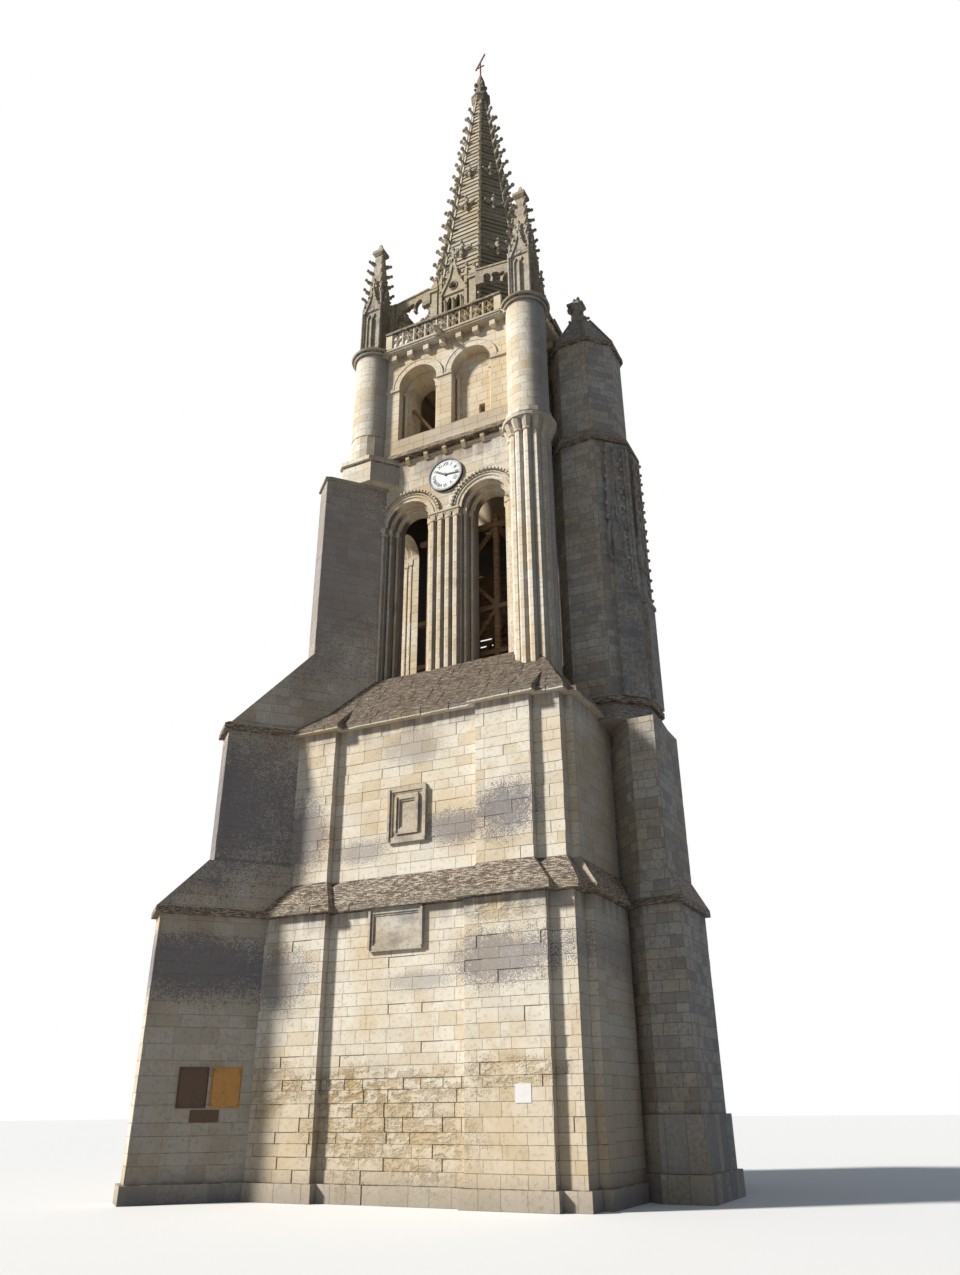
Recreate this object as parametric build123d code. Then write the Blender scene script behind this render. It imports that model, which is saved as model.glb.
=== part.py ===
from build123d import *
import os
from math import cos, sin, radians, hypot

os.makedirs("parts", exist_ok=True)

# Scale model at 1:10 of a bell tower that stands 53 m tall. Millimetres, +Z up.
# The origin is on the ground, on the axis of the spire. The front faces -Y.

# heights
plinth_top = 45
string_1 = 730
band = 18
middle_foot = 830
string_2 = 1311
belfry_floor = 1550
belfry_spring = 2180
belfry_top = 2472
upper_sill = 2560
upper_spring = 2815
upper_top = 2986
terrace_top = 3010
turret_top = 3021
rail_top = 3105
pinnacle_tip = 3699
spire_top = 4890
finial_top = 5124
cross_top = 5300

# half widths of the stages, x across the front and y through the depth
lower_x, lower_y, lower_wall = 511, 548, 130
middle_x, middle_y, middle_wall = 477, 505, 110
eave_out = 20
belfry_half, belfry_void = 335, 250
upper_half, upper_void = 357, 235
terrace_half = 387
pilaster_out = 25
plinth_out = 12

# pilasters on the front and back, as x ranges, and on the sides, as y ranges
lower_front_pilasters = [(-480, -251), (201, 440)]
middle_front_pilasters = [(-446, -286), (215, 391)]
lower_side_pilasters = [(-476, -198), (198, 476)]
middle_side_pilasters = [(-465, -150), (150, 465)]

# paired belfry windows
belfry_pair = 157
order_steps = [(92, 28), (79, 28), (65, 40)]
hood_out, hood_in, hood_deep = 137, 127, 6
pier_shaft = 15
nook_shaft = 8
abacus = 8

# paired bays of the upper stage
bay_pair = 118
bay_ring_out, bay_recess, bay_depth = 116, 85, 42
bay_light = 57

# round corner turrets
turret_x, turret_y = 345, 337
turret_radius = 75.7
brim_radius = 92
cluster_radius = 62
cluster_shaft = 15

# spire
spire_foot_radius = 300
spire_top_radius = 30
spire_wall = 28
crocket_first, crocket_pitch, crocket_count = 3150, 85, 20

# pinnacles, lower than the spire
pinnacle_half = 39

# number of flats on a round turret, on a half round arch and on the dial
drum_sides = 16
arch_stones = 11
dial_sides = 32

# diagonal buttress: a point and the outward direction of its right flank
flank_x, flank_y = -427, -530
out_x, out_y = -0.656, -0.755
buttress_wide = 105
buttress_top_wide = 97

# stair turret
stair_x, stair_y = 478, -60
stair_low_half, stair_high_half = 154, 133
stair_mid_string = 1390
stair_top_string = 2400
stair_eave = 2900


def block(x0, x1, y0, y1, z0, z1):
    return Pos((x0 + x1) / 2, (y0 + y1) / 2, (z0 + z1) / 2) * Box(x1 - x0, y1 - y0, z1 - z0)


def room(half_x, half_y, z0, z1):
    return block(-half_x, half_x, -half_y, half_y, z0, z1)


def flat_face(points):
    return make_face(Polyline(points, close=True).edges())


def prism(points, z0, z1):
    return extrude(flat_face([(p[0], p[1], z0) for p in points]), z1 - z0, dir=(0, 0, 1))


def circle_points(x, y, radius, sides, turn=0.0):
    turns = [radians(turn + 360 * k / sides) for k in range(sides)]
    return [(x + radius * cos(a), y + radius * sin(a)) for a in turns]


def post(x, y, radius, z0, z1, sides=8, turn=22.5):
    return prism(circle_points(x, y, radius, sides, turn), z0, z1)


def drum(x, y, radius, z0, z1):
    return post(x, y, radius, z0, z1, drum_sides, 0)


def taper(low, z0, high, z1):
    # flat sloping sides between two outlines whose edges run parallel
    foot = [(p[0], p[1], z0) for p in low]
    head = [(p[0], p[1], z1) for p in high]
    faces = [flat_face(foot), flat_face(head)]
    for k in range(len(foot)):
        faces.append(flat_face([foot[k - 1], foot[k], head[k], head[k - 1]]))
    return Solid(Shell(faces))


def cone(x, y, r0, z0, r1, z1):
    return taper(circle_points(x, y, r0, drum_sides), z0, circle_points(x, y, r1, drum_sides), z1)


def rect(hx, hy):
    return [(-hx, -hy), (hx, -hy), (hx, hy), (-hx, hy)]


def span(x0, x1, y0, y1):
    return [(x0, y0), (x1, y0), (x1, y1), (x0, y1)]


def wall_prism(points, y0, y1):
    # a profile drawn in x and z, pushed along y
    return extrude(flat_face([(p[0], y0, p[1]) for p in points]), y1 - y0, dir=(0, 1, 0))


def depth_prism(points, x0, x1):
    # a profile drawn in y and z, pushed along x
    return extrude(flat_face([(x0, p[0], p[1]) for p in points]), x1 - x0, dir=(1, 0, 0))


def eye(x, z, radius, y0, y1, sides=8):
    # a round hole or disc through a wall, in short flats
    return wall_prism(circle_points(x, z, radius, sides, 180 / sides), y0, y1)


def half_round(x, radius, spring):
    turns = [radians(180 * k / arch_stones) for k in range(arch_stones + 1)]
    return [(x + radius * cos(a), spring + radius * sin(a)) for a in turns]


def arch(x, half, z0, spring, y0, y1):
    return wall_prism([(x - half, z0), (x + half, z0)] + half_round(x, half, spring), y0, y1)


def arch_band(x, r_out, r_in, spring, y0, y1):
    return wall_prism(half_round(x, r_out, spring) + half_round(x, r_in, spring)[::-1], y0, y1)


def turned(shape, quarter):
    return Rot(0, 0, 90 * quarter) * shape


def joined(shapes):
    result = shapes[0]
    rest = shapes[1:]
    if rest:
        result = result.fuse(*rest)
    return result.clean() if hasattr(result, "clean") else result


def apart(one, two):
    a, b = one.bounding_box(), two.bounding_box()
    gap_x = a.min.X > b.max.X or b.min.X > a.max.X
    gap_y = a.min.Y > b.max.Y or b.min.Y > a.max.Y
    gap_z = a.min.Z > b.max.Z or b.min.Z > a.max.Z
    return gap_x or gap_y or gap_z


def less(shape, bodies):
    # cuts away the bodies that come near, and leaves the rest alone
    near = [body for body in bodies if not apart(shape, body)]
    return shape.cut(*near) if near else shape


def largest(shape):
    found = shape.solids()
    return max(found, key=lambda s: s.volume) if len(found) > 1 else shape


def save(shape, node):
    export_step(shape, f"parts/{node}.step")
    print(node)


side_names = ["front", "right", "back", "left"]
corner_names = ["front_right", "back_right", "back_left", "front_left"]


def quarters(ring, void_x, void_y, corner_x, top):
    # cuts a square ring into four straight walls; the corners are left out
    front = ring & block(-corner_x, corner_x, -900, -void_y, 0, top)
    back = ring & block(-corner_x, corner_x, void_y, 900, 0, top)
    right = ring & block(void_x, 900, -void_y, void_y, 0, top)
    left = ring & block(-900, -void_x, -void_y, void_y, 0, top)
    return [front, right, back, left]


# lower stage, solid outline first
def pilaster_boxes(fronts, sides, hx, hy, out, grow, z0, z1):
    found = []
    for x0, x1 in fronts:
        found.append(block(x0 - grow, x1 + grow, -hy - out - grow, -hy + 5, z0, z1))
        found.append(block(x0 - grow, x1 + grow, hy - 5, hy + out + grow, z0, z1))
    for y0, y1 in sides:
        found.append(block(hx - 5, hx + out + grow, y0 - grow, y1 + grow, z0, z1))
        found.append(block(-hx - out - grow, -hx + 5, y0 - grow, y1 + grow, z0, z1))
    return found


def lower_layer(grow, z0, z1):
    body = block(-lower_x - grow, lower_x + grow, -lower_y - grow, lower_y + grow, z0, z1)
    strips = pilaster_boxes(lower_front_pilasters, lower_side_pilasters, lower_x, lower_y,
                            pilaster_out, grow, z0, z1)
    return [body] + strips


lower_solid = joined(
    lower_layer(0, 0, string_1)
    + lower_layer(plinth_out, 0, plinth_top)
    + lower_layer(eave_out, string_1, string_1 + band)
)

# middle stage, with the weathered slope at its foot
slopes = []
low = rect(lower_x + eave_out, lower_y + eave_out)
slopes.append(taper(low, string_1 + band, rect(middle_x, middle_y), middle_foot))
for wide, slim in zip(lower_front_pilasters, middle_front_pilasters):
    low_y = lower_y + pilaster_out + eave_out
    high_y = middle_y + pilaster_out
    for way in (-1, 1):
        y_low = sorted((way * low_y, way * 400))
        y_high = sorted((way * high_y, way * 400))
        low = span(wide[0] - eave_out, wide[1] + eave_out, *y_low)
        high = span(slim[0], slim[1], *y_high)
        slopes.append(taper(low, string_1 + band, high, middle_foot))
for wide, slim in zip(lower_side_pilasters, middle_side_pilasters):
    low_x = lower_x + pilaster_out + eave_out
    high_x = middle_x + pilaster_out
    for way in (-1, 1):
        x_low = sorted((way * low_x, way * 400))
        x_high = sorted((way * high_x, way * 400))
        low = span(*x_low, wide[0] - eave_out, wide[1] + eave_out)
        high = span(*x_high, slim[0], slim[1])
        slopes.append(taper(low, string_1 + band, high, middle_foot))


def middle_layer(grow, z0, z1):
    body = block(-middle_x - grow, middle_x + grow, -middle_y - grow, middle_y + grow, z0, z1)
    strips = pilaster_boxes(middle_front_pilasters, middle_side_pilasters, middle_x, middle_y,
                            pilaster_out, grow, z0, z1)
    return [body] + strips


middle_solid = joined(slopes + middle_layer(0, middle_foot - 1, string_2))

# eaves string and the long weathered slope above it, solid under the belfry floor
slope_run = 100
cap_parts = middle_layer(eave_out, string_2, string_2 + band)
low = rect(middle_x + eave_out, middle_y + eave_out)
cap_parts.append(taper(low, string_2 + band, rect(belfry_half + 10, belfry_half + 10), belfry_floor))
for x0, x1 in middle_front_pilasters:
    for way in (-1, 1):
        near = middle_y + pilaster_out + eave_out
        far = near - slope_run
        low = span(x0 - eave_out, x1 + eave_out, *sorted((way * near, way * 380)))
        high = span(x0 - eave_out, x1 + eave_out, *sorted((way * far, way * 380)))
        cap_parts.append(taper(low, string_2 + band, high, string_2 + band + 88))
glacis_solid = joined(cap_parts)

# belfry ring with its paired windows
belfry_ring = block(-belfry_half, belfry_half, -belfry_half, belfry_half, belfry_floor, belfry_top)
belfry_ring = belfry_ring - room(belfry_void, belfry_void, belfry_floor - 1, belfry_top + 1)
window_cuts = []
for quarter in range(4):
    for x in (-belfry_pair, belfry_pair):
        reach = -belfry_half
        for half, step in order_steps:
            reach = reach + step if half != order_steps[-1][0] else -belfry_void + 5
            cut = arch(x, half, belfry_floor - 1, belfry_spring, -belfry_half - 5, reach)
            window_cuts.append(turned(cut, quarter))
belfry_ring = belfry_ring.cut(*window_cuts)

# corner piers: shaft clusters under round turrets
corner_piers = []
for quarter in range(4):
    is_front_left = quarter == 3
    pieces = []
    core_radius = 50 if is_front_left else cluster_radius
    pieces.append(block(270, belfry_half, -belfry_half, -belfry_void, belfry_floor, belfry_top))
    pieces.append(drum(turret_x, -turret_y, core_radius, 1400, belfry_top))
    if not is_front_left:
        for step in range(9):
            angle = radians(-165 + 30 * step)
            x = turret_x + cluster_radius * cos(angle)
            y = -turret_y + cluster_radius * sin(angle)
            pieces.append(post(x, y, cluster_shaft, 1400, 2430))
        pieces.append(cone(turret_x, -turret_y, 70, 2415, 87, 2450))
        pieces.append(drum(turret_x, -turret_y, 87, 2450, belfry_top))
    pieces.append(block(285, upper_half, -upper_half, -upper_void, belfry_top, upper_top))
    pieces.append(drum(turret_x, -turret_y, turret_radius, belfry_top, turret_top - 16))
    pieces.append(drum(turret_x, -turret_y, brim_radius, turret_top - 16, turret_top))
    pier = turned(joined(pieces), quarter)
    corner_piers.append(less(pier, [glacis_solid]))

# the front left turret stands on a canted block and a flared skirt
cant_inner = [(-250, -203), (-250, -250), (-203, -250)]
canted = [(-203, -335), (-280, -423), (-406, -423), (-423, -406), (-423, -280), (-335, -203)]
canted_cap = [(-203, -343), (-284, -431), (-410, -431), (-431, -410), (-431, -284), (-343, -203)]
canted += cant_inner
canted_cap += cant_inner
canted_block = joined([prism(canted, 2358, 2455), prism(canted_cap, 2455, belfry_top)])
canted_block = canted_block & (
    block(-500, -203, -500, -belfry_half, 2300, 2500)
    + block(-500, -belfry_half, -500, -203, 2300, 2500)
    + block(-500, -270, -500, -250, 2300, 2500)
)
skirt = cone(-turret_x, -turret_y, 84, belfry_top, turret_radius, belfry_top + 110)
corner_piers[3] = joined([corner_piers[3], canted_block, skirt])

# shafts and capitals of the windows
shafts = []
for quarter in range(4):
    group = []
    for x in (-48, -16, 16, 48):
        group.append(post(x, -belfry_half, pier_shaft, 1480, belfry_spring - 30))
        bell_low = span(x - 12, x + 12, -belfry_half - 12, -belfry_half + 4)
        bell_high = span(x - 15, x + 15, -belfry_half - 16, -belfry_half + 4)
        group.append(taper(bell_low, belfry_spring - 30, bell_high, belfry_spring - abacus))
    group.append(block(-64, 64, -belfry_half - 19, -belfry_half + 4, belfry_spring - abacus, belfry_spring))
    for x in (-261, 261):
        group.append(post(x, -belfry_half, 11, 1480, belfry_spring - 30))
        bell_low = span(x - 9, x + 9, -belfry_half - 9, -belfry_half + 4)
        bell_high = span(x - 12, x + 12, -belfry_half - 14, -belfry_half + 4)
        group.append(taper(bell_low, belfry_spring - 30, bell_high, belfry_spring))
    for centre in (-belfry_pair, belfry_pair):
        for way in (-1, 1):
            for half, y in ((order_steps[0][0], -belfry_half + 28), (order_steps[1][0], -belfry_half + 56)):
                x = centre + way * (half - nook_shaft)
                group.append(post(x, y - nook_shaft, nook_shaft, belfry_floor, belfry_spring - 24))
                group.append(block(x - 9, x + 9, y - 18, y + 1, belfry_spring - 24, belfry_spring))
    for centre in (-belfry_pair, belfry_pair):
        hood_face = -belfry_half - hood_deep
        group.append(arch_band(centre, hood_out, hood_in, belfry_spring, hood_face, -belfry_half + 3))
    shafts.append(turned(joined([group[0]] + group[1:]), quarter))

belfry_walls = quarters(belfry_ring, belfry_void, belfry_void, 270, belfry_top + 1)
for index, wall in enumerate(belfry_walls):
    whole = joined([wall, shafts[index]])
    belfry_walls[index] = less(whole, [glacis_solid] + corner_piers)

# upper stage ring on a corbelled course
upper_ring = block(-upper_half, upper_half, -upper_half, upper_half, belfry_top, upper_top)
upper_ring = upper_ring - room(upper_void, upper_void, belfry_top - 1, upper_top + 1)
extra = []
cuts = []
for quarter in range(4):
    face = -upper_half
    extra.append(turned(block(-300, 300, face - 6, face + 5, belfry_top, belfry_top + band), quarter))
    for step in range(7):
        x = -240 + 80 * step
        foot = [(face + 2, belfry_top + 2), (face + 2, belfry_top - 16), (-belfry_half - 8, belfry_top - 32)]
        foot += [(-belfry_half, belfry_top - 32), (-belfry_half, belfry_top + 2)]
        extra.append(turned(depth_prism(foot, x - 8, x + 8), quarter))
    for x in (-bay_pair, bay_pair):
        ring = arch_band(x, bay_ring_out, bay_recess, upper_spring, face - 5, face + 5)
        recess = arch(x, bay_recess, upper_sill, upper_spring, face - 8, face + bay_depth)
        extra.append(turned(ring, quarter))
        cuts.append(turned(recess, quarter))
    for x0, x1 in ((-300, -bay_pair - 98), (bay_pair + 98, 300)):
        impost = block(x0, x1, face - 5, face + 5, upper_spring, upper_spring + 8)
        extra.append(turned(impost, quarter))
    light = arch(-bay_pair, bay_light, upper_sill, upper_spring - 4, face - 8, -upper_void + 5)
    cuts.append(turned(light, quarter))
    cuts.append(turned(block(132, 156, face - 8, -upper_void + 5, 2600, 2640), quarter))
upper_ring = joined([upper_ring] + extra).cut(*cuts)
inner_shafts = []
for quarter in range(4):
    for x in (-bay_pair - 72, -bay_pair + 72, bay_pair - 72, bay_pair + 72):
        face = -upper_half + bay_depth
        shaft = post(x, face - 7, 7, upper_sill, upper_spring - 20)
        capital = block(x - 10, x + 10, face - 16, face + 1, upper_spring - 20, upper_spring - 4)
        inner_shafts += [turned(shaft, quarter), turned(capital, quarter)]
upper_ring = joined([upper_ring] + inner_shafts)
upper_walls = quarters(upper_ring, upper_void, upper_void, 300, upper_top + 1)
for index in range(4):
    upper_walls[index] = less(upper_walls[index], corner_piers + [belfry_walls[index]])

# terrace slab on block corbels
terrace_parts = [block(-terrace_half, terrace_half, -terrace_half, terrace_half, upper_top, terrace_top)]
for quarter in range(4):
    for step in range(7):
        x = -222 + 74 * step
        corbel = block(x - 12, x + 12, -upper_half - 24, -upper_half, upper_top - 32, upper_top + 2)
        terrace_parts.append(turned(corbel, quarter))
terrace = less(joined(terrace_parts), corner_piers + upper_walls)

# pierced balustrade, one panel a side
rail_bays = 14
rail_span = 262
rail_pitch = 2 * (rail_span - 7) / rail_bays
balustrades = []
for quarter in range(4):
    line = -terrace_half + 12
    panel = block(-rail_span, rail_span, line - 7, line + 7, terrace_top, rail_top - 10)
    holes = []
    for step in range(rail_bays):
        x = -rail_span + 7 + rail_pitch * (step + 0.5)
        for z in (terrace_top + 28, terrace_top + 64):
            holes.append(wall_prism(circle_points(x, z, 16.5, 4), line - 10, line + 10))
    panel = panel.cut(*holes)
    panel = joined([panel, block(-rail_span, rail_span, line - 11, line + 11, rail_top - 10, rail_top)])
    panel = turned(panel, quarter)
    balustrades.append(less(panel, corner_piers))


def gable(x, half, z0, z1, y0, y1):
    return wall_prism([(x - half, z0), (x + half, z0), (x, z1)], y0, y1)


# pinnacles on the turrets
def square_post(half, z0, z1):
    return block(-half, half, -half, half, z0, z1)


def pinnacle_shape():
    body = pinnacle_half
    parts = [square_post(body + 9, turret_top, 3036), square_post(body, 3036, 3300)]
    parts.append(taper(rect(body - 2, body - 2), 3300, rect(15, 15), 3625))
    parts.append(taper(rect(18, 18), 3620, rect(27, 27), 3634))
    parts.append(square_post(27, 3634, 3648))
    parts.append(taper(rect(13, 13), 3648, rect(5, 5), pinnacle_tip))
    for quarter in range(4):
        parts.append(turned(gable(0, body - 6, 3270, 3410, -body - 5, -18), quarter))
        parts.append(turned(block(body - 4, body + 6, -body - 6, 4 - body, 3036, 3290), quarter))
        cap_foot = span(body - 4, body + 6, -body - 6, 4 - body)
        cap = taper(cap_foot, 3290, span(body, body + 3, -body - 3, -body), 3350)
        parts.append(turned(cap, quarter))
    for quarter in range(4):
        for step in range(4):
            z = 3390 + 60 * step
            half = body - 2 - (body - 17) * (z - 3300) / 325
            edge = half * 1.414
            leaf = [(half * 1.2, z - 6), (edge + 16, z + 6), (edge + 10, z + 16), (half * 1.2, z + 10)]
            parts.append(Rot(0, 0, 45 + 90 * quarter) * wall_prism(leaf, -5, 5))
    shape = joined(parts)
    niches = []
    for quarter in range(4):
        for x in (-13, 13):
            arch_top = [(x + 10, 3235), (x, 3258), (x - 10, 3235)]
            niche = [(x - 10, 3065), (x + 10, 3065)] + arch_top
            niches.append(turned(wall_prism(niche, -body - 8, 6 - body), quarter))
    return shape.cut(*niches)


plain_pinnacle = pinnacle_shape()
pinnacles = []
for quarter in range(4):
    pinnacles.append(turned(Pos(turret_x, -turret_y, 0) * plain_pinnacle, quarter))

# spire shell, eight sided, faces square to the tower
def ring_of(radius):
    return circle_points(0, 0, radius, 8, 22.5)


def spire_radius(z):
    share = (z - terrace_top) / (spire_top - terrace_top)
    return spire_foot_radius + (spire_top_radius - spire_foot_radius) * share


spire_solid = taper(ring_of(spire_foot_radius), terrace_top, ring_of(spire_top_radius), spire_top)
hollow_top = 4300
hollow_foot = ring_of(spire_foot_radius - spire_wall)
spire_hollow = taper(hollow_foot, terrace_top, ring_of(spire_radius(hollow_top) - spire_wall), hollow_top)
florets = []
for z in (3640, 3980, 4240):
    reach = spire_radius(z) * cos(radians(22.5))
    grow = 0.55 + 0.45 * spire_radius(z) / spire_radius(3640)
    star = []
    for k in range(8):
        arm = grow * (34 if k % 2 == 0 else 17)
        star.append((arm * cos(radians(45 * k)), z + 1.25 * arm * sin(radians(45 * k))))
    floret = wall_prism(star, -reach - 9, -reach + 14)
    for k in range(8):
        florets.append(Rot(0, 0, 45 * k) * floret)
spire_shell = joined([spire_solid - spire_hollow] + [f - spire_hollow for f in florets])

# ribs with crockets on the eight arrises
def rib_shape():
    low = terrace_top + 20
    foot_radius = spire_radius(low)
    edge = [(foot_radius - 8, low), (foot_radius + 6, low)]
    edge += [(spire_top_radius + 5, spire_top), (spire_top_radius - 6, spire_top)]
    parts = [wall_prism(edge, -6, 6)]
    for step in range(crocket_count):
        z = crocket_first + crocket_pitch * step
        r = spire_radius(z)
        grow = 1.0 - 0.25 * step / crocket_count
        leaf = [(r - 2, z - 12 * grow), (r + 27 * grow, z + 4 * grow), (r + 19 * grow, z + 15 * grow)]
        leaf.append((r - 4, z + 8 * grow))
        parts.append(wall_prism(leaf, -6, 6))
    return joined(parts)


one_rib = rib_shape()
ribs = [Rot(0, 0, 22.5 + 45 * k) * one_rib for k in range(8)]
ring_high = ring_of(spire_radius(terrace_top + 24) + 6)
foot_ring = taper(ring_of(spire_foot_radius + 14), terrace_top, ring_high, terrace_top + 24)
spire_ribs = joined(ribs + [foot_ring]) - spire_solid

# gabled lucarnes on the four cardinal faces, each between two small pinnacles
def lucarne_shape():
    parts = [block(-46, 46, -282, -200, terrace_top, 3290)]
    parts.append(gable(0, 60, 3285, 3440, -288, -180))
    parts.append(gable(0, 9, 3425, 3492, -285, -270))
    for way in (-1, 1):
        for step in range(3):
            x = way * (50 - 15 * step)
            z = 3312 + 38 * step
            parts.append(block(*sorted((x, x + way * 12)), -289, -277, z, z + 12))
        slim = way * 60
        parts.append(block(slim - 7, slim + 7, -292, -250, terrace_top, 3350))
        slim_cap = taper(span(slim - 9, slim + 9, -294, -268), 3350, span(slim - 2, slim + 2, -283, -279), 3410)
        parts.append(slim_cap)
        pier = way * 92
        parts.append(block(pier - 16, pier + 16, -291, -250, terrace_top, 3340))
        cap = taper(span(pier - 20, pier + 20, -295, -250), 3340, span(pier - 4, pier + 4, -275, -267), 3400)
        parts.append(cap)
    shape = joined(parts)
    holes = []
    for x in (-20, 20):
        holes.append(block(x - 14, x + 14, -300, -262, 3060, 3250))
        holes.append(gable(x, 14, 3250, 3278, -300, -262))
    holes.append(eye(0, 3322, 15, -300, -268))
    return shape.cut(*holes)


one_lucarne = lucarne_shape()
lucarnes = []
for quarter in range(4):
    shape = turned(one_lucarne, quarter) - spire_solid - spire_ribs
    lucarnes += [solid for solid in shape.solids() if solid.volume > 20000]

# flying arches from each pinnacle to the piers beside the lucarnes
def flier_shape():
    top_pin, top_pier = 3345, 3372
    edge = [(108, top_pier), (313, top_pin), (313, 3150)]
    edge += [(270, 3225), (218, 3268), (160, 3290), (108, 3296)]
    slab = wall_prism(edge, -296, -274)
    holes = []
    for x, z in ((232, 3300), (195, 3314), (158, 3324)):
        holes.append(eye(x, z, 13, -300, -270))
    return slab.cut(*holes)


one_flier = flier_shape()
mirrored = mirror(one_flier, about=Plane.YZ)
fliers = []
for quarter in range(4):
    pair = [one_flier, Rot(0, 0, 90) * mirrored]
    both = [largest(less(turned(piece, quarter), lucarnes)) for piece in pair]
    fliers.append(both)

# collar, knob and bud under the cross
finial_profile = [(36, 0), (44, 34), (36, 62), (22, 70), (30, 105), (18, 128), (24, 160), (20, 190), (7, 234)]
finial_parts = []
for (r0, rise0), (r1, rise1) in zip(finial_profile, finial_profile[1:]):
    finial_parts.append(taper(ring_of(r0), spire_top + rise0, ring_of(r1), spire_top + rise1))
for k in range(4):
    finial_parts.append(Rot(0, 0, 45 + 90 * k) * block(14, 33, -6, 6, spire_top + 136, spire_top + 156))
finial = joined(finial_parts)

cross = joined([
    post(0, 0, 4, finial_top, 5236),
    Pos(0, 0, 5240) * Rot(0, 28, 0) * Box(6, 6, 116),
    Pos(0, 0, 5200) * Box(44, 5, 5),
])

# diagonal buttress at the front left corner
def along(a, side=0.0):
    return (flank_x + out_x * a + out_y * side, flank_y + out_y * a - out_x * side)


def buttress_piece(profile_az, wide, lift=0.0):
    base = [(*along(a, -lift), z) for a, z in profile_az]
    face = flat_face(base)
    return extrude(face, wide + 2 * lift, dir=(out_y, -out_x, 0))


low_slope = [(-60, string_1), (378, string_1), (378, string_1 + band), (245, 890), (-60, 890)]
mid_slope = [(-200, string_2), (245, string_2), (245, string_2 + band), (232, 1335), (-200, 1335)]
buttress_parts = [
    buttress_piece([(-60, 0), (363, 0), (363, string_1), (-60, string_1)], buttress_wide),
    buttress_piece([(-60, 0), (375, 0), (375, plinth_top), (-60, plinth_top)], buttress_wide, 12),
    buttress_piece(low_slope, buttress_wide, 12),
    buttress_piece([(-160, 880), (230, 880), (230, string_2), (-160, string_2)], buttress_wide),
    buttress_piece(mid_slope, buttress_wide, 10),
    buttress_piece([(-330, string_2 + band), (232, 1330), (-25, 1622), (-330, 1622)], buttress_wide),
    buttress_piece([(-330, 1600), (-25, 1600), (-25, 2345), (-330, 2345)], buttress_top_wide),
    buttress_piece([(-330, 2345), (-17, 2345), (-17, 2353), (-40, 2358), (-330, 2358)], buttress_top_wide, 7),
]
buttress = joined(buttress_parts)
belfry_block = block(-belfry_half, 400, -belfry_half, 400, belfry_floor - 2, 2500)
buttress = largest(less(buttress, [lower_solid, middle_solid, glacis_solid, corner_piers[3], belfry_block]))
for index in range(4):
    belfry_walls[index] = less(belfry_walls[index], [buttress])
corner_piers[3] = less(corner_piers[3], [buttress])

# stair turret at the right side, two rectangular stages under two eight sided ones
def octagon(cx, cy, apothem):
    return circle_points(cx, cy, apothem / cos(radians(22.5)), 8, 22.5)


def canted_plan(front, right, back, cant, grow=0.0):
    left = 440
    points = [(left, front + 3 * cant - grow), (left + 60, front + 3 * cant - grow)]
    points += [(left + 60 + 3 * cant, front - grow), (right + grow, front - grow)]
    return points + [(right + grow, back + grow), (left, back + grow)]


low_plan = canted_plan(-230, 700, 40, 30)
low_cap = canted_plan(-230, 700, 40, 30, 14)
mid_plan = canted_plan(-222, 672, 30, 30)
high_plan = octagon(stair_x, stair_y, stair_low_half)
top_plan = octagon(stair_x, stair_y - 12, stair_high_half)
stair_low = joined([
    prism(low_plan, 0, string_1),
    prism(canted_plan(-230, 700, 40, 30, 24), 0, plinth_top + 20),
    prism(canted_plan(-230, 700, 40, 30, 12), plinth_top + 20, 200),
    prism(low_cap, string_1, string_1 + band),
    taper(low_cap, string_1 + band, mid_plan, middle_foot),
])
stair_low = joined([stair_low, prism(mid_plan, middle_foot, 1300)])
stair_high = joined([
    taper(octagon(stair_x, stair_y, 186), 1300, high_plan, 1370),
    prism(octagon(stair_x, stair_y, 168), 1370, 1388),
    prism(high_plan, 1388, stair_top_string),
    prism(octagon(stair_x, stair_y, 166), stair_top_string, stair_top_string + 16),
    taper(octagon(stair_x, stair_y, 166), stair_top_string + 16, top_plan, stair_top_string + 60),
])
stair_top = joined([
    prism(top_plan, stair_top_string + 60, stair_eave - 16),
    prism(octagon(stair_x, stair_y - 12, 145), stair_eave - 16, stair_eave),
    taper(octagon(stair_x, stair_y - 12, 140), stair_eave, octagon(stair_x, stair_y - 12, 48), 3085),
    taper(octagon(stair_x, stair_y - 12, 48), 3085, octagon(stair_x, stair_y - 12, 20), 3105),
])
body_cutters = [lower_solid, middle_solid, glacis_solid]
inside = block(-upper_half, upper_half, -upper_half, upper_half, belfry_top, upper_top)
belfry_core = block(-belfry_half, belfry_half, -belfry_half, belfry_half, belfry_floor, belfry_top)
near_stairs = [terrace, corner_piers[0], upper_walls[1], belfry_walls[1], balustrades[1]]
# the turret is notched where it passes a belfry window and an upper window
stair_high = stair_high - block(belfry_half - 1, belfry_half + 30, -215, -99, 1553, 2165)
stair_top = stair_top - block(upper_half - 1, upper_half + 18, -160, -81, 2563, 2803)
stairs = []
for shape in (stair_low, stair_high, stair_top):
    stairs.append(largest(less(shape, body_cutters + [inside, belfry_core] + near_stairs)))

# walls of the two lower stages, after all the outlines that needed them whole
def framed_panel(x0, x1, face, z0, z1, frame=10):
    raised = block(x0, x1, face - 6, face + 5, z0, z1)
    return raised - block(x0 + frame, x1 - frame, face - 8, face - 1, z0 + frame, z1 - frame)


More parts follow.
